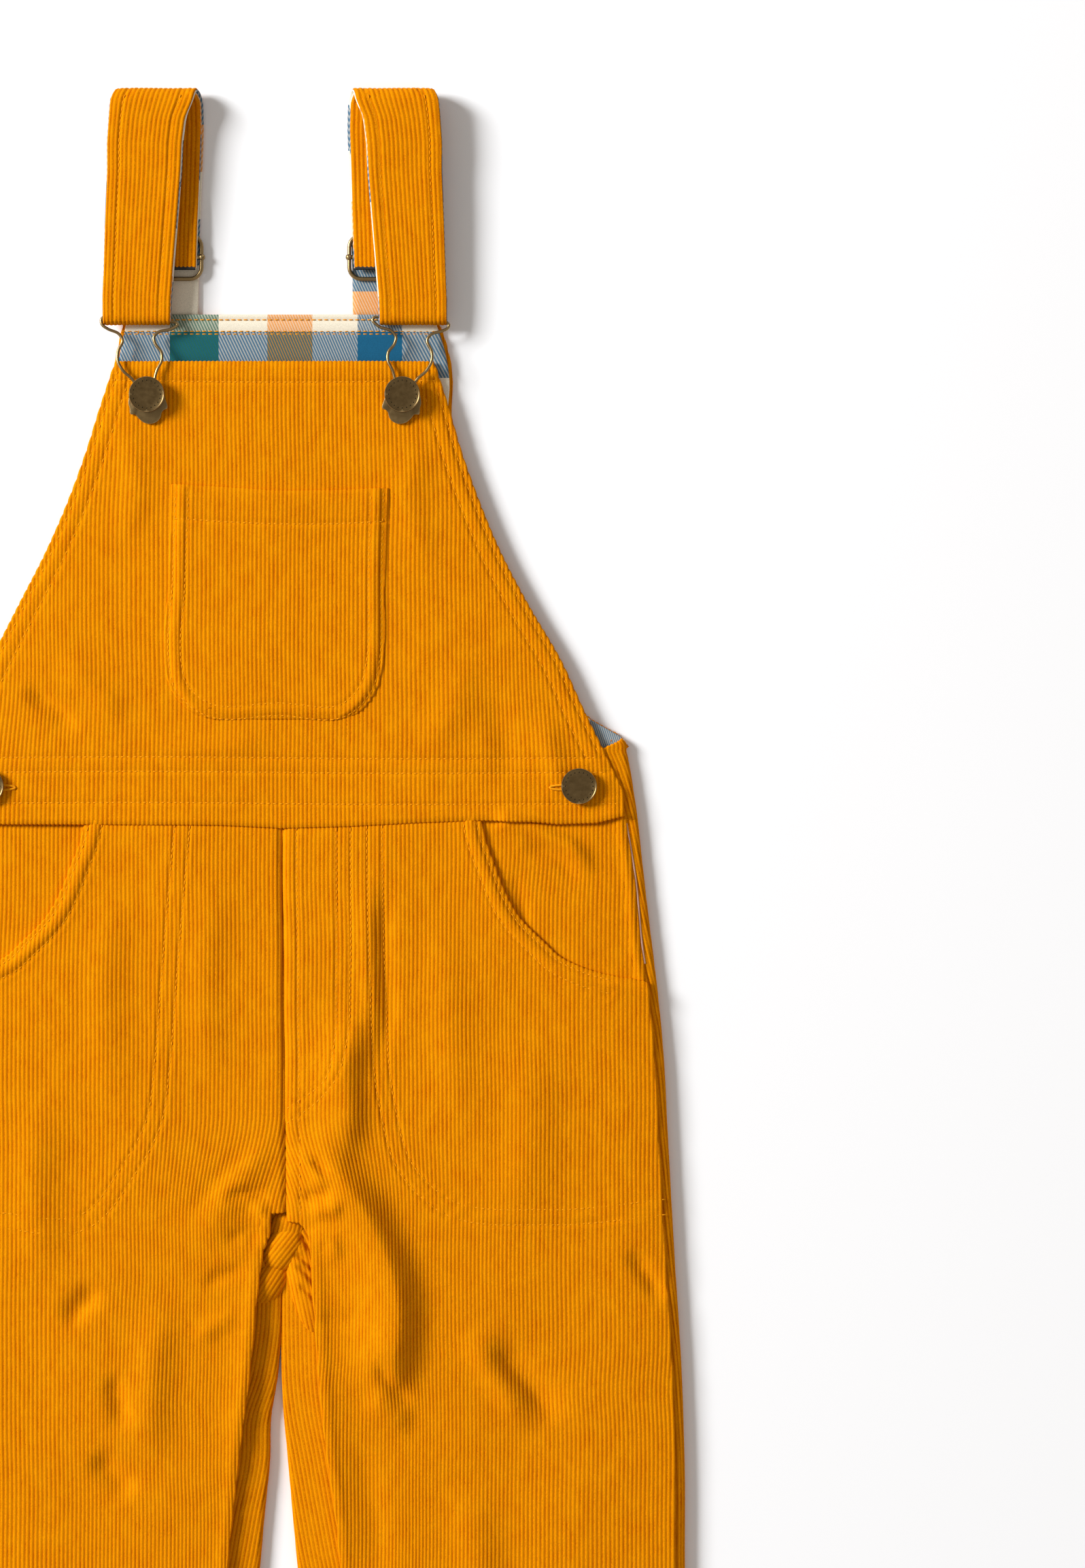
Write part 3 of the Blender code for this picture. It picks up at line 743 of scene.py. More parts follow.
def makeBrassMaterial(name, dark, light, rubbedAndHighlight):
    material, tree, shader = newMaterial(name)
    place = addNode(tree, "ShaderNodeTexCoord").outputs["Object"]
    tarnish = addNode(tree, "ShaderNodeTexNoise", {"Scale": 420.0, "Detail": 4.0, "Roughness": 0.6})
    tree.links.new(place, tarnish.inputs["Vector"])
    # convex edges take a lighter colour: partly rubbed wear, partly a painted highlight
    edge = addNode(tree, "ShaderNodeNewGeometry").outputs["Pointiness"]
    rubAndHighlight = addNode(tree, "ShaderNodeMapRange",
                  {"From Min": 0.52, "From Max": 0.62, "To Min": 0.0, "To Max": 0.8})
    tree.links.new(edge, rubAndHighlight.inputs["Value"])
    colour = mixColour(tree, tarnish.outputs["Fac"], dark, light)
    colour = mixColour(tree, rubAndHighlight.outputs[0], colour, rubbedAndHighlight)
    tree.links.new(colour, shader.inputs["Base Color"])
    rough = mathNode(tree, "MULTIPLY_ADD", tarnish.outputs["Fac"], 0.25, 0.22)
    tree.links.new(rough, shader.inputs["Roughness"])
    shader.inputs["Metallic"].default_value = 1.0
    return material


plaid = {
    "stripe": 21.6,
    "bandStart": 224.7,  # of the topmost band
    "twill": 1.32,  # across the lines, from one to the next
    "lean": 0.45,  # sideways for each length along
}
fibreGroup = makeFibreGroup()
orangeCorduroy = makeCorduroyMaterial()
plaidTwill = makePlaidMaterial()
goldThread = makeThreadMaterial("gold thread", linear(246, 160, 14))
darkThread = makeThreadMaterial("dark thread", linear(58, 60, 62))
paleThread = makeThreadMaterial("pale facing", linear(214, 168, 146))
antiqueBrass = makeBrassMaterial(
    "antique brass", linear(104, 84, 52), linear(132, 110, 74), linear(212, 184, 132))
darkBrass = makeBrassMaterial("dark brass", linear(24, 20, 14), linear(40, 34, 24), linear(60, 50, 34))
report("materials")


# bib

bib = {
    "overlap": 0.9,  # over the legs' top edges
    "topHem": [(-78, 202.2), (-30, 201.4), (20, 201.2), (74, 202.0)],
    "waistLines": [28.6, 21.9, 7.6],
    "sideLines": [2.4, 8.6],  # in from the armhole edges
}


def sideLine(edge, inset, low, high, sign):
    # a line that follows a side edge, inset from it
    y = np.linspace(low, high, 90)
    x = edge(y)
    slope = np.gradient(x, y)
    length = np.hypot(1, slope)
    return np.stack([x - sign * inset / length, y + sign * inset * slope / length], axis=1)


bibLines = []
for place in bib["waistLines"]:
    bibLines.append(smoothLine([(bibLeft(place) + 2, place), (-60, place + 0.5), (50, place - 0.4),
                                (bibRight(place) - 2, place)], 3.0))
for inset in bib["sideLines"]:
    bibLines.append(sideLine(bibLeft, inset, 32.0, 208.0, -1))
    bibLines.append(sideLine(bibRight, inset, 32.0, 208.0, 1))
bibLines.append(smoothLine(bib["topHem"], 3.0))


def bibLift(x, y):
    # the edge over the legs stands up a little, and so does each turned edge
    foot = 0.3 * np.exp(-np.maximum(0, y) / 4.0)
    edge = np.minimum(bibRight(y) - x, x - bibLeft(y))
    return foot + 0.25 * np.exp(-(((edge - 4.8) / 2.6) ** 2)) + 0.3 * np.exp(-(((y - 206.4) / 2.6) ** 2))


bibRowPlaces = rowsBetween(-bib["overlap"], 210.6, corduroy["rowSpacing"], bib["waistLines"] + [201.4])
bibFront = finishPiece(makeSheet(
    "bibFront", bibRowPlaces, inCloth(bibLeft, "bib"), inCloth(bibRight, "bib"),
    frontSurface("bib", bibLift), orangeCorduroy, fineStep, corduroy["cloth"], lines=bibLines,
), "orange_corduroy", "bib_front")

bibPocket = {
    "left": curveThrough([(46.6, -33.8), (49.2, -39.0), (54.0, -44.6), (62.0, -50.0), (69.7, -51.6),
                          (110, -50.2), (153.0, -48.8)]),
    "right": curveThrough([(46.6, 32.2), (49.2, 36.4), (54.0, 41.2), (62.0, 45.8), (69.7, 47.5),
                           (110, 48.8), (153.0, 50.0)]),
    "lift": 1.25,
}


def pocketSag(x, y):
    # the open top edge hangs a little in the middle
    share = np.clip((y - 100) / 52, 0, 1)
    return share * (np.interp(x, [-49, -22, 3, 28, 50], [1.6, 0.0, -1.6, -1.2, -0.2]))


def pocketLift(x, y):
    edge = np.minimum(x - bibPocket["left"](y), bibPocket["right"](y) - x)
    low = y - 46.6
    return (bibPocket["lift"] - 0.75 * np.exp(-((edge / 2.6) ** 2)) - 0.75 * np.exp(-((low / 2.6) ** 2))
            + 0.3 * np.exp(-(((edge - 5.0) / 2.4) ** 2)) + 0.4 * np.exp(-(((y - 147) / 5.0) ** 2)))


pocketOutline = [(-48.8, 152.0), (-50.2, 110), (-51.6, 69.7), (-50.0, 62.0), (-44.6, 54.0), (-39.0, 49.2),
                 (-33.8, 46.6), (0, 46.4), (32.2, 46.6), (36.4, 49.2), (41.2, 54.0), (45.8, 62.0),
                 (47.5, 69.7), (48.8, 110), (50.0, 151.6)]


def insetLine(points, inset, spacing=1.5):
    # a line at a distance to the left of the way that the points run
    line = smoothLine(points, spacing)
    run = np.gradient(line, axis=0)
    run /= np.linalg.norm(run, axis=1, keepdims=True)
    return line + np.stack([-run[:, 1], run[:, 0]], axis=1) * inset


pocketStitches = [insetLine(pocketOutline, 1.6), insetLine(pocketOutline, 7.4)]
pocketTopLine = smoothLine([(-48.2, 138.6), (-20, 136.8), (3, 136.0), (28, 136.2), (49, 137.2)], 3.0)
pocketRowPlaces = rowsBetween(46.6, 152.6, corduroy["rowSpacing"], [136.6])
pocketRowPlaces = sorted(set(pocketRowPlaces + [47.6, 48.6, 50.2, 51.4, 53.2, 55.2]))
pocketPiece = finishPiece(makeSheet(
    "bibPocket", pocketRowPlaces, inCloth(bibPocket["left"], "bib"), inCloth(bibPocket["right"], "bib"),
    frontSurface("bib", pocketLift, pocketSag), orangeCorduroy, fineStep, 1.5,
    lines=pocketStitches + [pocketTopLine],
), "orange_corduroy", "bib_pocket")
report("bib and pocket")

# front of the legs

legs = {
    "hemLines": [hemY + 3.5, hemY + 22.0],
    "sideInset": 4.6,  # of the front's edge, inside the back leg's fold
    "rightBag": [(47.5, 1.6), (49.1, -73.4), (53.4, -130), (61.9, -158.4), (75.9, -172.5),
                 (123.8, -178.8), (180, -174.0)],
    "leftBag": [(-47.2, 1.9), (-50.3, -31.6), (-53.8, -73.1), (-56.9, -112.2), (-60.6, -137.8),
                (-72.5, -160), (-89.4, -180.6), (-128.1, -180.3), (-177.0, -178.0)],
    "flyJ": [(26.6, 0), (26.6, -73.1), (25.9, -101.6), (20.9, -120), (9.4, -128.8), (3.4, -132.8)],
    "flyJ2": [(33.1, 0), (33.0, -70), (31.8, -100), (26.5, -119), (17.0, -130), (3.6, -139.5)],
}
scoopLines = {}
for side, sign in sides.items():
    low = [(seamCentre + sign * x, y) for x, y in [(scoopEdge(-72.5), -72.5), (176, -75.5)]]
    y = np.linspace(1.0, -72.0, 60)
    scoopLines[side] = np.concatenate([np.stack([seamCentre + sign * scoopEdge(y), y], axis=1), low])
legLines = {"right": [legs["flyJ"], legs["flyJ2"]], "left": []}
legLines = {side: [smoothLine(line, 3.0) for line in lines] for side, lines in legLines.items()}
for side, sign in sides.items():
    # curved rows run on the left of a line from the waist down on the right leg, mirrored on the left
    bag = legs[side + "Bag"]
    legLines[side] += [insetLine(bag, 0.01, 3.0), insetLine(bag, -sign * 7.0, 3.0)]
    y = np.linspace(0.5, -72, 60)
    x = seamCentre + sign * scoopEdge(y)
    scoopLine = np.stack([x, y], axis=1)
    legLines[side] += [insetLine(scoopLine, -sign * 1.9, 3.0), insetLine(scoopLine, -sign * 8.0, 3.0)]
    for level in legs["hemLines"]:
        legLines[side].append(np.array([(seamCentre + sign * 46, level), (seamCentre + sign * 188, level)]))
seamRun = np.linspace(-182, -1, 70)
legLines["right"].append(np.stack([seamCentre + centreSeam(seamRun) + 6.6, seamRun], axis=1))


def frontEdges(side):
    # the front's inner and outer edges, as distances from the bib's middle line
    sign, shape = sides[side], legShapes[side]
    corner = {"right": [(-184.0, 0.0), (-184.9, 0.62), (-187.5, 0.85), (-191.0, 1.0)],
              "left": [(-180.4, 1.0), (-180.0, 0.0)]}[side]
    corner = sorted(corner)

    def inner(y):
        seam = seamCentre + centreSeam(y) + sign * seamGap
        inseam = seamCentre + sign * shape["inseam"](y)
        share = np.interp(y, [c[0] for c in corner], [c[1] for c in corner])
        return seam + (inseam - seam) * share

    def outer(y):
        side = seamCentre + sign * (sideEdge(y) - legs["sideInset"])
        scoop = seamCentre + sign * scoopEdge(y)
        share = np.clip((-72.5 - y) / 2.5, 0, 1)
        return scoop + (side - scoop) * share

    return inner, outer, [c[0] for c in corner]


def legLift(side):
    sign = sides[side]

    def lift(x, y):
        out = (x - seamCentre) * sign
        near = (y > -95) & (out > 70)
        scoop = np.full(x.shape, 30.0)
        scoop[near] = toLine(x[near], y[near], scoopLines[side])[0]
        foot = -0.9 * np.exp(-((y / 2.0) ** 2))
        low = legShapes[side]["crotch"]
        inseam = np.where(y < low, out - legShapes[side]["inseam"](y), 30.0)
        seamDip = np.where(y > low, -1.1 * np.exp(-(((x - seamCentre - centreSeam(y)) / 1.6) ** 2)), 0.0)
        return (foot + seamDip + 0.7 * np.exp(-(((scoop - 4.8) / 2.8) ** 2))
                - 0.3 * np.exp(-(((scoop - 0.2) / 1.0) ** 2))
                + 0.4 * np.exp(-(((inseam - 2.8) / 2.4) ** 2)))

    return lift


fronts = {}
for side, sign in sides.items():
    inner, outer, crotchRows = frontEdges(side)
    rows = rowsBetween(hemY, 0.9, corduroy["rowSpacing"], legs["hemLines"], corduroy["lowRowSpacing"])
    rows = [r for r in rows if not -77 < r < -38 and all(abs(r - c) > 0.8 for c in crotchRows)]
    rows = sorted(set(rows + list(np.arange(-77, -38, 1.3)) + [-75.0, -72.5] + crotchRows))
    left, right = (inner, outer) if sign > 0 else (outer, inner)
    fronts[side] = finishPiece(makeSheet(
        "legFront" + side.title(), rows, inCloth(left, side), inCloth(right, side),
        frontSurface(side, legLift(side)), orangeCorduroy, fineStep, corduroy["cloth"], lines=legLines[side],
    ), "orange_corduroy", f"leg_front_{side}")
report("front of the legs")

# hip pieces in the scoop pockets

yokes = {}
for side, sign in sides.items():
    def yokeInner(y, sign=sign):
        return seamCentre + sign * (scoopEdge(np.maximum(y, -70.0)) - 7.0)

    def yokeOuter(y, sign=sign):
        return seamCentre + sign * openingEdge(y)

    def yokeLift(x, y, sign=sign):
        edge = openingEdge(y) - (x - seamCentre) * sign
        return -1.9 - 0.9 * np.exp(-((y / 2.0) ** 2)) + 0.9 * np.exp(-(((edge - 2.5) / 2.5) ** 2))

    left, right = (yokeInner, yokeOuter) if sign > 0 else (yokeOuter, yokeInner)
    yokes[side] = finishPiece(makeSheet(
        "pocketYoke" + side.title(), rowsBetween(-74.5, 0.9, 1.6), inCloth(left, side), inCloth(right, side),
        frontSurface(side, yokeLift), orangeCorduroy, fineStep, 1.6,
    ), "orange_corduroy", f"pocket_yoke_{side}")

# back, which curls up along both sides

rolls = {"inseam": 2.2, "inseamLap": 4.5, "wrapTop": 38.0}


def sideRadius(y):
    return np.interp(y, [-120, -70], [2.9, 2.5])


def sideTurn(y):
    # half a turn all the way down, and nearly flat above the wrap's top
    return np.interp(y, [rolls["wrapTop"] - 0.6, rolls["wrapTop"] + 1.6], [1.0, 0.02])


def sideLength(y):
    # the wrap's top edge falls away inwards, and below the opening the front covers its end
    radius = sideRadius(y)
    beyond = np.interp(y, [-110, -80, 32.6, 37.8, 39.5], [5.0, 8.5, 8.5, -0.4 * math.pi * 2.5, -5.0])
    return beyond + math.pi * radius


def rolled(s, radius, turn):
    # how far out and up a point goes, s along cloth that curls over from the floor
    turning = np.minimum(s, math.pi * radius)
    beyond = s - turning
    angle = turn * turning / radius
    last = turn * math.pi
    out = radius / turn * np.sin(angle) + beyond * np.cos(last)
    up = radius / turn * (1 - np.cos(angle)) + beyond * np.sin(last) + 0.08 * beyond
    return out, up


def rollReach(radius, turn, length):
    return radius / turn * np.sin(np.minimum(turn * length / radius, math.pi / 2))


def backSurface(starts, turns, radii):
    # starts: where the cloth leaves the floor on the left and the right, as functions of y
    def surface(u, v):
        left, right = starts[0](v), starts[1](v)
        outLeft, upLeft = rolled(np.maximum(0, left - u), radii[0](v), turns[0](v))
        outRight, upRight = rolled(np.maximum(0, u - right), radii[1](v), turns[1](v))
        x = np.clip(u, left, right) - outLeft + outRight
        rise = 0.5 + 0.5 * ripple(x, v, 60, 12)
        z = upLeft + upRight + 0.25 * rise * np.clip(np.minimum(u - left, right - u) / 12, 0, 1)
        return np.stack([x, v, z], axis=1)
    return surface


def ones(y):
    return np.ones_like(np.asarray(y, float))


backLegs = {}
for side, sign in sides.items():
    shape = legShapes[side]

    def innerStart(y, shape=shape, sign=sign):
        return seamCentre + sign * np.where(y <= shape["crotch"], shape["lobe"](y) + rolls["inseam"], 0.2)

    def innerEnd(y, shape=shape, sign=sign, start=innerStart):
        beyond = shape["inseam"](y) + rolls["inseamLap"] - shape["lobe"](y) - rolls["inseam"]
        length = np.where(y <= shape["crotch"], math.pi * rolls["inseam"] + np.maximum(0, beyond), 0.0)
        return start(y) - sign * length

    def outerStart(y, sign=sign):
        return seamCentre + sign * (sideEdge(y) - rollReach(sideRadius(y), sideTurn(y), sideLength(y)))

    def outerEnd(y, sign=sign, start=outerStart):
        return start(y) + sign * sideLength(y)

    inseamRadius = lambda y: ones(y) * rolls["inseam"]
    starts = (innerStart, outerStart) if sign > 0 else (outerStart, innerStart)
    ends = (innerEnd, outerEnd) if sign > 0 else (outerEnd, innerEnd)
    turns = (ones, sideTurn) if sign > 0 else (sideTurn, ones)
    radii = (inseamRadius, sideRadius) if sign > 0 else (sideRadius, inseamRadius)
    rows = rowsBetween(hemY, 0.0, 5.2)
    rows = sorted([r for r in rows if abs(r - shape["crotch"]) > 1.6]
                  + [shape["crotch"], shape["crotch"] + 0.8])
    backLegs[side] = finishPiece(makeSheet(
        "legBack" + side.title(), rows, *ends, backSurface(starts, turns, radii), orangeCorduroy,
        coarseStep, corduroy["cloth"], flip=True,
    ), "orange_corduroy", f"leg_back_{side}")


def backStart(edge, sign):
    return lambda y: edge(y) - sign * rollReach(sideRadius(y), sideTurn(y), sideLength(y))


def backEnd(edge, sign):
    return lambda y: backStart(edge, sign)(y) + sign * sideLength(y)


backBib = finishPiece(makeSheet(
    "backBib", sorted(set(rowsBetween(0.0, 232.0, 4.2) + list(np.arange(31.0, 41.0, 0.9)))),
    backEnd(backLeft, -1), backEnd(backRight, 1),
    backSurface((backStart(backLeft, -1), backStart(backRight, 1)), (sideTurn, sideTurn),
                (sideRadius, sideRadius)),
    orangeCorduroy, coarseStep, corduroy["cloth"], flip=True,
), "orange_corduroy", "back_bib")
report("back")

# the back's gathered cloth in the crotch opening

crotchFolds = [
    # middle, half width and half length, lean of its wales in degrees, height of its middle and edge
    {"name": "Top", "place": (4.5, -187.5), "size": (9.5, 9.0), "lean": -14, "top": 7.4, "edge": 2.6},
    {"name": "Upper", "place": (2.6, -196.5), "size": (9.5, 13.0), "lean": -38, "top": 8.6, "edge": 2.6},
    {"name": "Lower", "place": (-4.9, -213.0), "size": (8.0, 11.5), "lean": -33, "top": 7.2, "edge": 2.4},
    {"name": "Inner", "place": (12.6, -193.5), "size": (5.5, 11.0), "lean": 24, "top": 6.6, "edge": 2.6},
    {"name": "Side", "place": (12.2, -212.0), "size": (7.5, 25.0), "lean": 11, "top": 8.2, "edge": 4.4},
]
crotchCreases = [
    crease(-1.6, 1.4, 1.2, (6, -199), (12, -202), (17, -209), taper=0.3),
    crease(-1.5, 1.4, 1.2, (7, -204), (13, -208), (18, -216), taper=0.3),
    crease(-1.3, 1.3, 1.2, (9, -213), (14, -217), (18, -222), taper=0.3),
    crease(-1.6, 1.3, 1.2, (9, -190), (12, -193), (15, -199), taper=0.3),
]


def foldSurface(fold):
    angle = math.radians(fold["lean"])

    def surface(u, v):
        x = fold["place"][0] + u * math.cos(angle) - v * math.sin(angle)
        y = fold["place"][1] + u * math.sin(angle) + v * math.cos(angle)
        round2 = (u / fold["size"][0]) ** 2 + (v / fold["size"][1]) ** 2
        z = fold["edge"] + (fold["top"] - fold["edge"]) * np.sqrt(np.clip(1 - round2, 0, 1))
        return np.stack([x, y, z + foldHeight(x, y, crotchCreases)], axis=1)

    return surface


crotchPieces = []
for fold in crotchFolds:
    wide, long = fold["size"]

    def halfWidth(v, wide=wide, long=long):
        return wide * 0.985 * np.sqrt(np.clip(1 - (v / long) ** 2, 0, 1)) + 0.2

    crotchPieces.append(finishPiece(makeSheet(
        "crotchFold" + fold["name"], list(np.linspace(-0.97 * long, 0.97 * long, int(long * 2))),
        lambda v, h=halfWidth: -h(v), halfWidth, foldSurface(fold), orangeCorduroy, fineStep, 1.0, lip=1.0,
        ribShift=0.6,
    ), "orange_corduroy"))
report("crotch")


# plaid facing inside the back bib

facing = {
    "height": 3.2,
    "inset": 1.6,
    "bounds": [-64.8, -43.2, -21.6, 0.0, 21.6, 43.2, 64.8, 86.4],
    "stripes": [-73.1, -50.3, -28.1, -5.3, 15.3, 35.9, 56.6, 82.0],
}


def toStripe(x):
    # stripes aren't all one width, so the cloth coordinate follows them
    x = np.asarray(x, float)
    inner = np.interp(x, facing["stripes"], facing["bounds"])
    return inner + np.minimum(0, x + 73.1) + np.maximum(0, x - 82.0) * 1.42


def fromStripe(u):
    u = np.asarray(u, float)
    inner = np.interp(u, facing["bounds"], facing["stripes"])
    return inner + np.minimum(0, u + 64.8) + np.maximum(0, u - 86.4) / 1.42


def facingEdge(edge, sign):
    def at(y):
        inset = np.interp(y, [46, 52], [0.5, facing["inset"]])
        return toStripe(edge(y) - sign * inset)
    return at


def facingSurface(u, v):
    x = fromStripe(u)
    wave = 0.25 * ripple(x, v, 45, 21) + 0.25
    hem = -0.5 * np.exp(-(((v - 229.8) / 0.8) ** 2)) - 0.4 * np.exp(-(((v - 224.2) / 0.8) ** 2))
    return np.stack([x, v, facing["height"] + wave * 0.5 + hem], axis=1)


facingRowPlaces = rowsBetween(30.0, 232.2, 4.0, [229.8, 224.2]) + [36.5, 38.0, 40.0, 42.0, 44.0]
backFacing = finishPiece(makeSheet(
    "backFacing", sorted(set(facingRowPlaces)), facingEdge(backLeft, -1), facingEdge(backRight, 1),
    facingSurface, plaidTwill, twill["step"], twill["cloth"], ribs=False, lip=1.5,
), "plaid_twill", "back_facing")
report("facing")

# straps

# y, height, inner and outer edge from the bib's middle line
strapTail = [(232.4, 1.0, 36.5, 67.5), (254.0, 1.0, 36.2, 67.2), (275.0, 1.0, 35.6, 66.6),
             (300.0, 1.0, 34.6, 66.6), (318.0, 0.95, 34.0, 67.2), (330.2, 0.9, 34.3, 69.0)]
strapFront = [(330.2, 11.9, 38.2, 74.8), (322.0, 11.9, 41.7, 75.4), (311.0, 11.6, 43.1, 76.2),
              (298.0, 11.2, 43.7, 76.2), (274.0, 10.6, 45.6, 77.2), (252.0, 10.0, 47.4, 77.9),
              (240.0, 9.5, 48.4, 78.4), (230.0, 8.7, 48.7, 78.4)]
strapReturn = [(230.0, 4.9, 48.7, 78.4), (240.0, 6.2, 48.2, 78.1), (252.0, 7.0, 47.2, 77.4),
               (274.0, 7.6, 45.4, 76.6), (298.0, 8.5, 43.5, 75.7), (311.0, 9.1, 42.9, 75.2),
               (322.0, 9.6, 41.5, 74.6), (330.2, 9.8, 39.0, 74.0)]
strapEnd = [(330.2, 3.0, 35.2, 69.8), (318.0, 3.0, 34.9, 68.2), (300.0, 3.0, 35.5, 67.4),
            (284.0, 4.4, 36.0, 67.4), (272.0, 4.9, 36.5, 67.6), (254.0, 4.7, 37.0, 67.6)]
strap = {"width": 31.0, "half": 0.75, "cloth": 1.1, "tilt": 2.4, "stitchInset": 4.6,
         "plaidShift": {"left": (24.0, 180.5), "right": (24.0, 257.3)}}


def halfTurn(first, last, heading, count):
    # rows between two rows at one y, round a half turn
    radius = abs(last[1] - first[1]) / 2
    rows = []
    for k in range(1, count):
        angle = math.pi * k / count
        share = k / count
        y = first[0] + heading * radius * math.sin(angle)
        z = (first[1] + last[1]) / 2 + (first[1] - last[1]) / 2 * math.cos(angle)
        rows.append((y, z, *[near + (far - near) * share for near, far in zip(first[2:], last[2:])]))
    return rows


strapRoute = np.array(
    strapTail + halfTurn(strapTail[-1], strapFront[0], 1, 12) + strapFront
    + halfTurn(strapFront[-1], strapReturn[0], -1, 8) + strapReturn
    + halfTurn(strapReturn[-1], strapEnd[0], 1, 9) + strapEnd)
strapRun = np.concatenate([[0], np.cumsum(np.hypot(*np.diff(strapRoute[:, :2], axis=0).T))])


def alongStrap(v):
    return [np.interp(v, strapRun, strapRoute[:, k]) for k in range(4)]


def strapSurface(side, offset, wavy=0.0):
    # offset is out of the corduroy's side; u runs from 0 at the inner edge to the width at the outer
    sign = sides[side]

    def surface(u, v):
        y, z, inner, outer = alongStrap(v)
        ahead, behind = alongStrap(v + 0.6), alongStrap(v - 0.6)
        runY, runZ = ahead[0] - behind[0], ahead[1] - behind[1]
        length = np.maximum(np.hypot(runY, runZ), 1e-9)
        share = u / strap["width"]
        out = inner + (outer - inner) * share
        # the corduroy faces down along the tail and up along the front
        normalY, normalZ = runZ / length, -runY / length
        bulge = offset + wavy * ripple(out, v, 34, 31)
        onFront = np.clip(np.minimum(v - 100, 214 - v) / 12, 0, 1)
        tilt = strap["tilt"] * (share - 0.5) * onFront * np.clip((250 - y) / 25, 0, 1)
        tilt = tilt * sides[side]
        return np.stack([bibMiddle + sign * out, y + normalY * bulge - tilt, z + normalZ * bulge], axis=1)

    return surface


def strapPieces(side):
    sign = sides[side]
    total = strapRun[-1]
    rows = list(np.arange(0, total, 2.6)) + [total]
    edge = [lambda v: 0.0 * np.asarray(v, float), lambda v: 0.0 * np.asarray(v, float) + strap["width"]]
    flip = sign > 0
    # two rows of stitches run the strap's length, in from its edges
    lines = []
    for u in (strap["stitchInset"], strap["width"] - strap["stitchInset"]):
        v = np.linspace(102, 215, 60)
        lines.append(strapSurface(side, 0.0)(np.full(60, u), v)[:, :2])
    upper = makeSheet(
        "strap" + side.title(), rows, *edge, strapSurface(side, strap["half"], 0.15), orangeCorduroy,
        fineStep, strap["cloth"], flip=flip, ribShift=0.5, lip=3.0,
        lines=lines)
    liningEdge = [lambda v: -0.5 + 0.0 * np.asarray(v, float), lambda v: 31.3 + 0.0 * np.asarray(v, float)]
    lining = makeSheet(
        "strapLining" + side.title(), rows, *liningEdge, strapSurface(side, -strap["half"], 0.15), plaidTwill,
        twill["step"], 0.7, flip=not flip, ribs=False, lip=2.0, uvShift=strap["plaidShift"][side])
    finishPiece(upper, "orange_corduroy", f"strap_{side}")
    finishPiece(lining, "plaid_twill")
    return upper, lining


straps = {side: strapPieces(side) for side in sides}
report("straps")

# the straps' ends are overcast with dark thread
strapHems = {}
for side, sign in sides.items():
    y, z, inner, outer = strapEnd[-1]
    ends = [(bibMiddle + sign * x, y - 0.1, z - 0.1) for x in (inner - 0.2, outer + 0.2)]
    strapHems[side] = ends


# stitches

stitch = {
    "length": 2.3,
    "gap": 0.55,
    "radius": 0.24,
    "sides": 5,
    "sink": 0.12,  # into the cloth
    "betweenWales": 0.31,  # further in, on the wales
    "onFacing": 0.1,
    "onStrap": 0.36,
}


def stitchRun(line, heightOf):
    # short rounded stitches one after another along a line
    line = np.array(line, float)
    chord = chordOf(line)
    pitch = stitch["length"] + stitch["gap"]
    starts = np.arange(0.4, chord[-1] - stitch["length"], pitch)
    shares = np.array([0.0, 0.16, 0.5, 0.84, 1.0])
    swell = np.array([0.45, 0.95, 1.1, 0.95, 0.45])
    rise = np.array([-0.30, 0.02, 0.10, 0.02, -0.30])
    count, around = len(starts), stitch["sides"]
    at = starts[:, None] + shares[None, :] * stitch["length"]
    x = np.interp(at, chord, line[:, 0])
    y = np.interp(at, chord, line[:, 1])
    z = heightOf(x.ravel(), y.ravel()).reshape(x.shape)
    dx, dy = x[:, -1] - x[:, 0], y[:, -1] - y[:, 0]
    length = np.maximum(np.hypot(dx, dy), 1e-6)
    acrossX, acrossY = -dy / length, dx / length
    angle = np.arange(around) * math.tau / around + math.pi / 2
    spreadOut = stitch["radius"] * swell[None, :, None] * np.cos(angle)[None, None, :]
    spreadUp = stitch["radius"] * swell[None, :, None] * np.sin(angle)[None, None, :]
    points = np.stack([
        x[:, :, None] + acrossX[:, None, None] * spreadOut,
        y[:, :, None] + acrossY[:, None, None] * spreadOut,
        z[:, :, None] + spreadUp + rise[None, :, None] - stitch["sink"],
    ], axis=3).reshape(-1, 3)
    faces = []
    for k in range(len(shares) - 1):
        for m in range(around):
            n = (m + 1) % around
            a, b = k * around + m, k * around + n
            c, d = (k + 1) * around + n, (k + 1) * around + m
            faces += [(a, b, c), (a, c, d)]
    last = (len(shares) - 1) * around
    for m in range(1, around - 1):
        faces += [(0, m + 1, m), (last, last + m, last + m + 1)]
    faces = np.array(faces)[:, ::-1]
    block = len(shares) * around
    allFaces = (faces[None] + (np.arange(count) * block)[:, None, None]).reshape(-1, 3)
    return points, allFaces


def sew(name, runs):
    # runs: pairs of a line and the height of the cloth under it
    points, faces, count = [], [], 0
    for line, heightOf in runs:
        some, its = stitchRun(line, heightOf)
        if not len(some):
            continue
        points.append(some)
        faces.append(its + count)
        count += len(some)
    points, faces = np.concatenate(points), np.concatenate(faces)
    piece = addMesh(name, points, faces, points[:, :2], goldThread)
    return finishPiece(piece, "orange_corduroy")


def onFront(lift):
    return lambda x, y: frontHeight(x, y) + lift(x, y) - stitch["betweenWales"]


def onFacing(x, y):
    return facing["height"] - stitch["onFacing"] + 0 * x


def sewLines(name, lines, heightOf):
    return sew(name, [(line, heightOf) for line in lines])


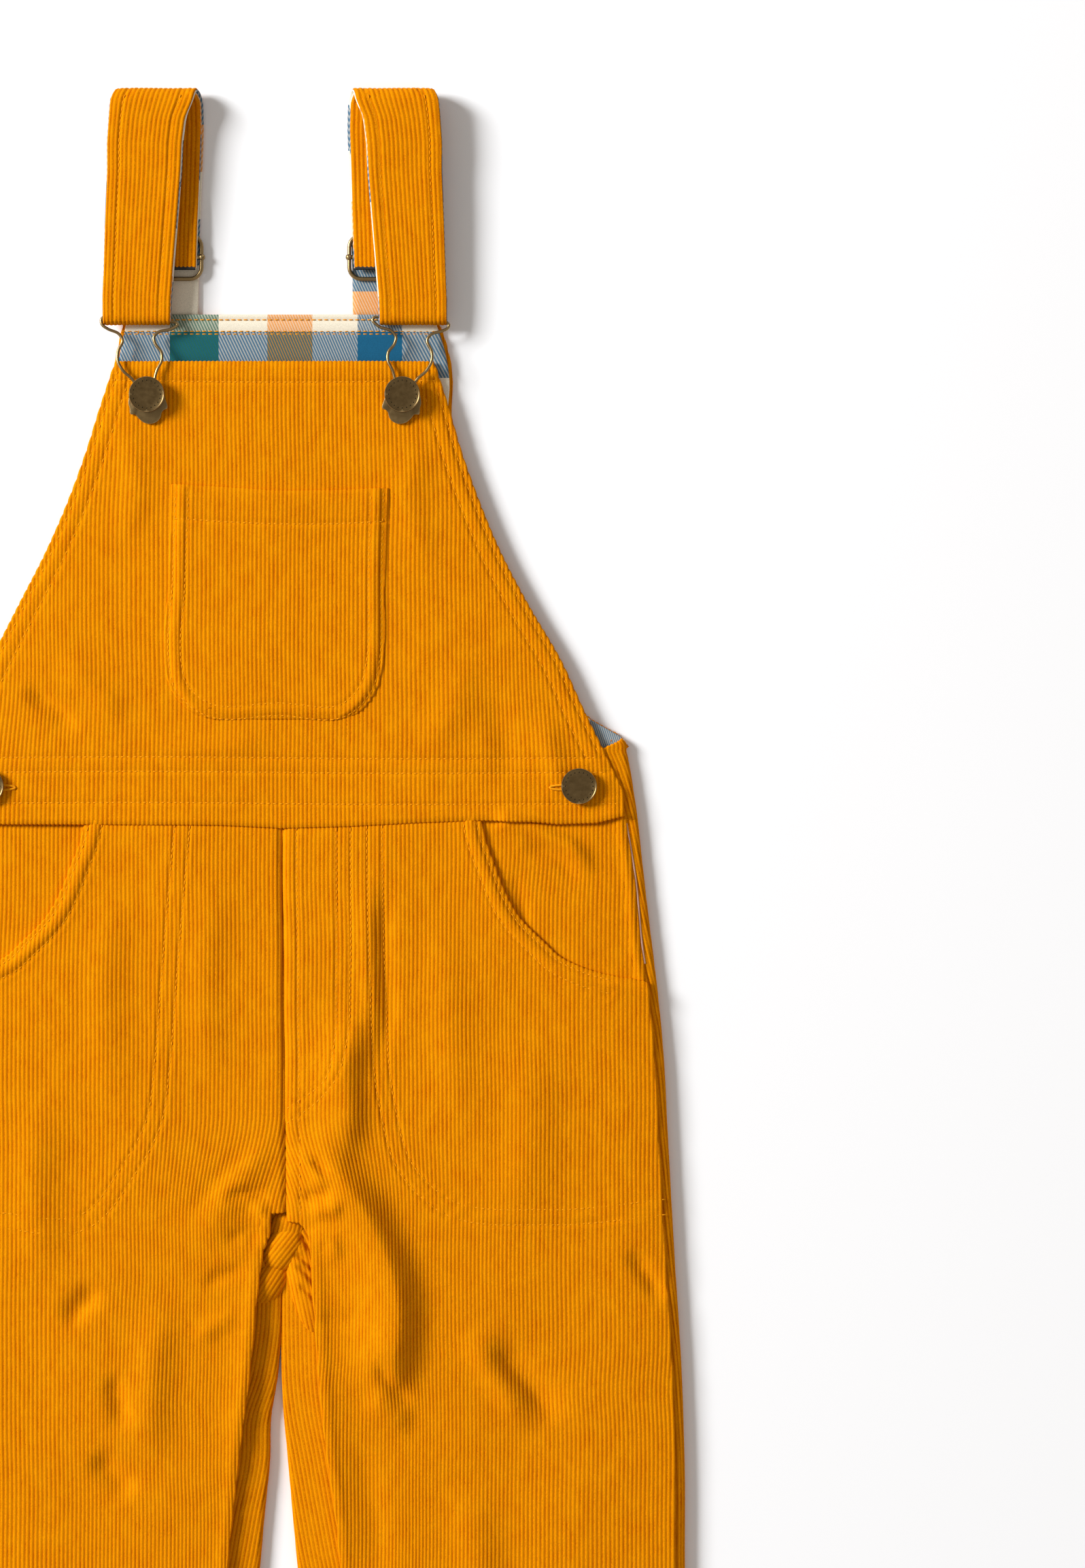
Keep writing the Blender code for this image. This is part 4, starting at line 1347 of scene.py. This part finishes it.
sewn = {
    "bib": sewLines("bibStitches", bibLines, onFront(bibLift)),
    "pocket": sewLines("pocketStitches", pocketStitches + [pocketTopLine], onFront(pocketLift)),
}
for side in sides:
    sewn[side] = sewLines("legStitches" + side.title(), legLines[side], onFront(legLift(side)))
facingLines = [np.array([(-71.0, 230.2), (71.0, 230.2)]), np.array([(-73.0, 224.9), (74.0, 224.9)]),
               np.array([(-73.0, 223.6), (74.0, 223.6)]), sideLine(backLeft, 7.5, 196, 231, -1),
               sideLine(backRight, 7.5, 196, 231, 1)]
sewn["facing"] = sewLines("facingStitches", facingLines, onFacing)


def strapTop(x, y):
    rows = sorted(strapFront)
    return np.interp(y, [r[0] for r in rows], [r[1] for r in rows]) + strap["half"] - stitch["onStrap"]


for side in sides:
    v = np.linspace(112, 214, 80)
    strapLines = [strapSurface(side, 0.0)(np.full(80, u), v)[:, :2]
                  for u in (strap["stitchInset"], strap["width"] - strap["stitchInset"])]
    sewn["strap" + side.title()] = sewLines("strapStitches" + side.title(), strapLines, strapTop)
report("stitches")

# brass hardware


def fromCurve(name, points, radius, cyclic, material, resolution=3):
    # a round wire along points in garment millimetres, as a mesh
    data = bpy.data.curves.new(name, "CURVE")
    data.dimensions = "3D"
    data.bevel_depth = radius / 1000
    data.bevel_resolution = resolution
    data.use_fill_caps = True
    spline = data.splines.new("POLY")
    spline.points.add(len(points) - 1)
    for place, point in zip(spline.points, points):
        place.co = ((point[0] + originX) / 1000, (point[1] + originY) / 1000, point[2] / 1000, 1.0)
    spline.use_cyclic_u = cyclic
    data.materials.append(material)
    pick(addObject(name, data))
    bpy.ops.object.convert(target="MESH")
    bpy.ops.object.shade_smooth()
    return bpy.context.view_layer.objects.active


def spun(name, profile, steps, x, y, material):
    # a turned piece: its profile, as radius and height, spun about the upright line through x, y
    centre = ((x + originX) / 1000, (y + originY) / 1000, 0.0)
    mesh = bpy.data.meshes.new(name)
    mesh.from_pydata([(centre[0] + r / 1000, centre[1], z / 1000) for r, z in profile],
                     [(k, k + 1) for k in range(len(profile) - 1)], [])
    mesh.materials.append(material)
    item = addObject(name, mesh)
    pick(item)
    bpy.ops.object.mode_set(mode="EDIT")
    bpy.ops.mesh.select_all(action="SELECT")
    bpy.ops.mesh.spin(steps=steps, angle=math.tau, center=centre, axis=(0, 0, 1))
    bpy.ops.mesh.select_all(action="SELECT")
    bpy.ops.mesh.remove_doubles(threshold=0.00002)
    bpy.ops.mesh.normals_make_consistent(inside=False)
    bpy.ops.object.mode_set(mode="OBJECT")
    bpy.ops.object.shade_smooth_by_angle(angle=math.radians(40))
    return item


def join(items):
    bpy.ops.object.select_all(action="DESELECT")
    for item in items:
        item.select_set(True)
    bpy.context.view_layer.objects.active = items[0]
    bpy.ops.object.join()
    return items[0]


def bead(x, y, z, radius, material, segments=8, rings=5):
    place = ((x + originX) / 1000, (y + originY) / 1000, z / 1000)
    bpy.ops.object.select_all(action="DESELECT")
    bpy.ops.mesh.primitive_uv_sphere_add(
        segments=segments, ring_count=rings, radius=radius / 1000, location=place)
    item = bpy.context.view_layer.objects.active
    item.data.materials.append(material)
    bpy.ops.object.shade_smooth()
    bpy.ops.object.transform_apply(location=True, rotation=True, scale=True)
    return item


capShape = {"radius": 8.2, "height": 2.0, "rim": 0.5, "dots": 20, "dotRadius": 0.42, "dotRing": 6.35}


def makeButton(name, x, y, base, capBase):
    # a tack button: a short stem, a flat cap with a thin raised rim, and a ring of dark dots on it
    radius, top, rim = capShape["radius"], capBase + capShape["height"], capShape["rim"]
    profile = [(0.0, top - 0.24), (radius * 0.5, top - 0.26), (radius - rim - 0.25, top - 0.32),
               (radius - rim, top - 0.2), (radius - rim * 0.6, top), (radius - rim * 0.2, top - 0.03),
               (radius, top - 0.35), (radius, top - 0.9), (radius - 0.3, top - 1.3),
               (radius - 0.9, capBase + 0.1), (radius - 1.5, capBase), (2.2, capBase), (2.0, capBase - 0.3),
               (2.0, base), (0.0, base)]
    cap = spun(name, profile, 64, x, y, antiqueBrass)
    dots = []
    for k in range(capShape["dots"]):
        angle = math.tau * k / capShape["dots"]
        dots.append(bead(x + capShape["dotRing"] * math.cos(angle), y + capShape["dotRing"] * math.sin(angle),
                         top - 0.55, capShape["dotRadius"], darkBrass))
    return join([cap] + dots)


buckle = {
    "place": (58.6, 195.3),
    "wire": 0.72,
    "route": [(20.2, 34.7), (21.3, 33.4), (20.9, 31.6), (18.5, 30.0), (12.8, 27.6), (11.4, 25.4),
              (13.4, 19.8), (13.5, 15.9), (11.2, 11.2), (6.4, 6.6), (4.2, 1.5), (2.8, -3.0),
              (0.0, -4.6), (-2.6, -2.8), (-3.6, 1.5), (-3.4, 6.0), (-4.4, 10.8), (-6.7, 15.9),
              (-6.6, 19.2), (-3.6, 23.6), (-3.0, 26.6), (-4.6, 28.7), (-11.4, 31.2), (-13.8, 33.6),
              (-12.6, 34.7)],
    "plate": [(7.0, 3.0), (8.4, -1.8), (8.6, -4.1), (8.0, -6.0), (7.6, -9.0), (5.4, -9.0), (4.3, -10.4),
              (1.6, -12.7), (-1.0, -13.3), (-3.8, -12.7), (-6.1, -10.4), (-6.7, -7.9), (-8.0, -6.7),
              (-9.2, -6.3), (-9.2, -4.7), (-8.6, -3.1), (-7.0, 3.0)],
    "plateThickness": 0.8,
    "gap": 0.3,  # from one layer to the next
}


def makePlate(name, outline, z, thickness, material):
    points = np.array(outline + outline[:1], float)
    line = smoothLine(points, 0.9)[:-1]
    mesh = bpy.data.meshes.new(name)
    mesh.from_pydata([((x + originX) / 1000, (y + originY) / 1000, z / 1000) for x, y in line], [],
                     [list(range(len(line)))])
    mesh.materials.append(material)
    item = addObject(name, mesh)
    pick(item)
    bpy.ops.object.mode_set(mode="EDIT")
    bpy.ops.mesh.select_all(action="SELECT")
    bpy.ops.mesh.extrude_region_move(TRANSFORM_OT_translate={"value": (0, 0, thickness / 1000)})
    bpy.ops.mesh.inset(thickness=0.0003, depth=0.0001)
    bpy.ops.mesh.select_all(action="SELECT")
    bpy.ops.mesh.normals_make_consistent(inside=False)
    bpy.ops.object.mode_set(mode="OBJECT")
    bpy.ops.object.shade_smooth_by_angle(angle=math.radians(40))
    return item


sideButtonPlace = (136.1, 15.6)


def clothTopAt(x, y):
    return float(frontHeight(np.array([x]), np.array([y]))[0]) + 0.35


for side, sign in sides.items():
    x = bibMiddle + sign * buckle["place"][0]
    y = buckle["place"][1]
    clothTop = clothTopAt(x, y)
    outline = [(x + sign * px, y + py) for px, py in buckle["plate"]]
    if sign > 0:
        outline = outline[::-1]
    plateZ = clothTop + buckle["gap"]
    plate = makePlate("bucklePlate" + side.title(), outline, plateZ, buckle["plateThickness"], antiqueBrass)
    finishPiece(plate, "antique_brass", f"buckle_plate_{side}")
    wireZ = plateZ + buckle["plateThickness"] + buckle["gap"] + buckle["wire"]
    route = smoothLine(buckle["route"], 0.9)
    route = [(x + sign * px, y + py, float(np.interp(py, [12.0, 34.7], [wireZ, 6.8]))) for px, py in route]
    # the wire's bar lies as the strap round it does, a little aslant
    tilt = [sign * strap["tilt"] * ((px - x) * sign - 3.7) / strap["width"] * np.clip((py - y - 26) / 9, 0, 1)
            for px, py, pz in route]
    route = [(px, py - t, pz) for (px, py, pz), t in zip(route, tilt)]
    wire = fromCurve("buckleWire" + side.title(), route, buckle["wire"], True, antiqueBrass)
    finishPiece(wire, "antique_brass", f"buckle_wire_{side}")
    capBase = wireZ + buckle["wire"] + buckle["gap"]
    button = makeButton("bibButton" + side.title(), x, y, clothTop, capBase)
    finishPiece(button, "antique_brass", f"bib_button_{side}")
    x, y = seamCentre + sign * sideButtonPlace[0], sideButtonPlace[1]
    clothTop = clothTopAt(x, y)
    sideButton = makeButton("sideButton" + side.title(), x, y, clothTop, clothTop + 0.8)
    finishPiece(sideButton, "antique_brass", f"side_button_{side}")

slider = {"place": (52.0, 259.0, 2.8), "size": (37.4, 21.4), "wire": 0.95, "corner": 5.2, "knob": 1.6}


def roundedFrame(width, height, corner):
    points = []
    for quarter in range(4):
        signX = 1 if quarter in (0, 3) else -1
        signY = 1 if quarter < 2 else -1
        for k in range(7):
            angle = math.pi / 2 * (quarter + k / 6)
            points.append((signX * (width / 2 - corner) + corner * math.cos(angle),
                           signY * (height / 2 - corner) + corner * math.sin(angle)))
    return points


for side, sign in sides.items():
    x, y, z = bibMiddle + sign * slider["place"][0], slider["place"][1], slider["place"][2]
    width, height = slider["size"]
    frameRoute = roundedFrame(width - 1.5, height - 1.5, slider["corner"])
    frameWire = fromCurve("slider" + side.title(), [(x + px, y + py, z) for px, py in frameRoute],
                          slider["wire"], True, antiqueBrass)
    bar = fromCurve("sliderBar", [(x - width / 2 + 0.7, y, z), (x + width / 2 - 0.7, y, z)],
                    slider["wire"], False, antiqueBrass)
    knob = bead(x - sign * (width / 2 - 0.6), y, z + 0.1, slider["knob"], antiqueBrass, 20, 12)
    finishPiece(join([frameWire, bar, knob]), "antique_brass", f"slider_{side}")

# the side openings' edging: past the edge, below the front, thread radius
edging = {"past": 0.55, "below": 2.3, "thread": 0.5}
buttonhole = {
    "level": 15.0,
    "thread": 0.55,
    # inwards from the side button's middle, and up
    "outline": [(6.0, 1.2), (10.5, 0.9), (12.8, 0.5), (13.4, 0.0), (12.8, -0.5), (10.5, -0.9), (6.0, -1.2)],
}
hems, edgings, buttonholes = {}, {}, {}
for side in sides:
    hems[side] = fromCurve("strapHem" + side.title(), strapHems[side], 0.95, False, darkThread, 2)
    finishPiece(hems[side], "plaid_twill")
for side, sign in sides.items():
    y = np.linspace(-1.5, -66, 40)
    x = seamCentre + sign * (openingEdge(y) + edging["past"])
    route = list(zip(x, y, frontHeight(x, y) - edging["below"]))
    edgings[side] = fromCurve("openingEdging" + side.title(), route, edging["thread"], False, paleThread, 2)
    finishPiece(edgings[side], "plaid_twill")
    middle = seamCentre + sign * sideButtonPlace[0]
    x, y = np.array([(middle - sign * inwards, buttonhole["level"] + up)
                     for inwards, up in buttonhole["outline"]]).T
    route = list(zip(x, y, frontHeight(x, y) + 0.15))
    buttonholes[side] = fromCurve(
        "buttonhole" + side.title(), route, buttonhole["thread"], False, goldThread, 2)
    finishPiece(buttonholes[side], "orange_corduroy")
report("brass hardware")


# what each sheet was cut from, in metres

crotchOf = {"left": [], "right": []}
for piece, fold in zip(crotchPieces, crotchFolds):
    crotchOf["left" if fold["place"][0] < 0 else "right"].append(piece)
cuts = [
    (bibFront, ["backBib"], [sewn["bib"], *buttonholes.values()]),
    (pocketPiece, ["bibFront"], [sewn["pocket"]]),
    (backBib, ["floor"], []),
    (backFacing, ["backBib"], [sewn["facing"]]),
]
for side in sides:
    behind = ["legBack" + side.title()]
    cuts += [
        (fronts[side], behind, [sewn[side]]),
        (backLegs[side], ["floor"], crotchOf[side]),
        (yokes[side], behind, [edgings[side]]),
        (straps[side][0], ["backBib"], [hems[side], sewn["strap" + side.title()]]),
        (straps[side][1], ["backBib"], []),
    ]
for piece, rests, attached in cuts:
    width, length, area = cutSizes[piece.name]
    cut = [round(value, 5) for value in (width, length, area)]
    print(piece.name, len(piece.data.polygons), "triangles, cut", cut)

# floor, light and camera

bpy.ops.mesh.primitive_plane_add(size=6, location=(0, 0, -0.0002))
floor = bpy.context.view_layer.objects.active
floor.name = "floor"
floorMaterial, _, floorShader = newMaterial("pale floor")
floorShader.inputs["Base Color"].default_value = (0.93, 0.948, 0.975, 1.0)
floorShader.inputs["Roughness"].default_value = 0.9
floorShader.inputs["Specular IOR Level"].default_value = 0.1
floor.data.materials.append(floorMaterial)

world = bpy.data.worlds.new("soft light")
bpy.context.scene.world = world
world.use_nodes = True
sky = world.node_tree.nodes["Background"]
sky.inputs["Color"].default_value = (1.0, 0.92, 0.84, 1.0)
sky.inputs["Strength"].default_value = 0.36


def addLight(name, place, size, power):
    # a square soft light that looks at the garment's middle
    data = bpy.data.lights.new(name, "AREA")
    data.shape = "SQUARE"
    data.size = size
    data.energy = power
    light = addObject(name, data)
    light.location = place
    light.rotation_euler = mathutils.Vector(place).to_track_quat("Z", "Y").to_euler()


addLight("key", (-4.2, 1.9, 2.6), 1.7, 430)
addLight("fill", (1.2, -1.2, 2.4), 2.4, 5)

# straight above, with the picture's height in metres at the cloth's level
view = {"place": (0.11925, 0.1483, 2.4), "level": 0.006, "high": 0.7206, "sensor": 36}
cameraData = bpy.data.cameras.new("camera")
camera = addObject("camera", cameraData)
camera.location = view["place"]
cameraData.lens = view["sensor"] * (view["place"][2] - view["level"]) / view["high"]
cameraData.sensor_width = view["sensor"]
cameraData.clip_end = 20
bpy.context.scene.camera = camera
bpy.context.scene.view_settings.view_transform = "Standard"

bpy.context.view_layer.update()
report("done")
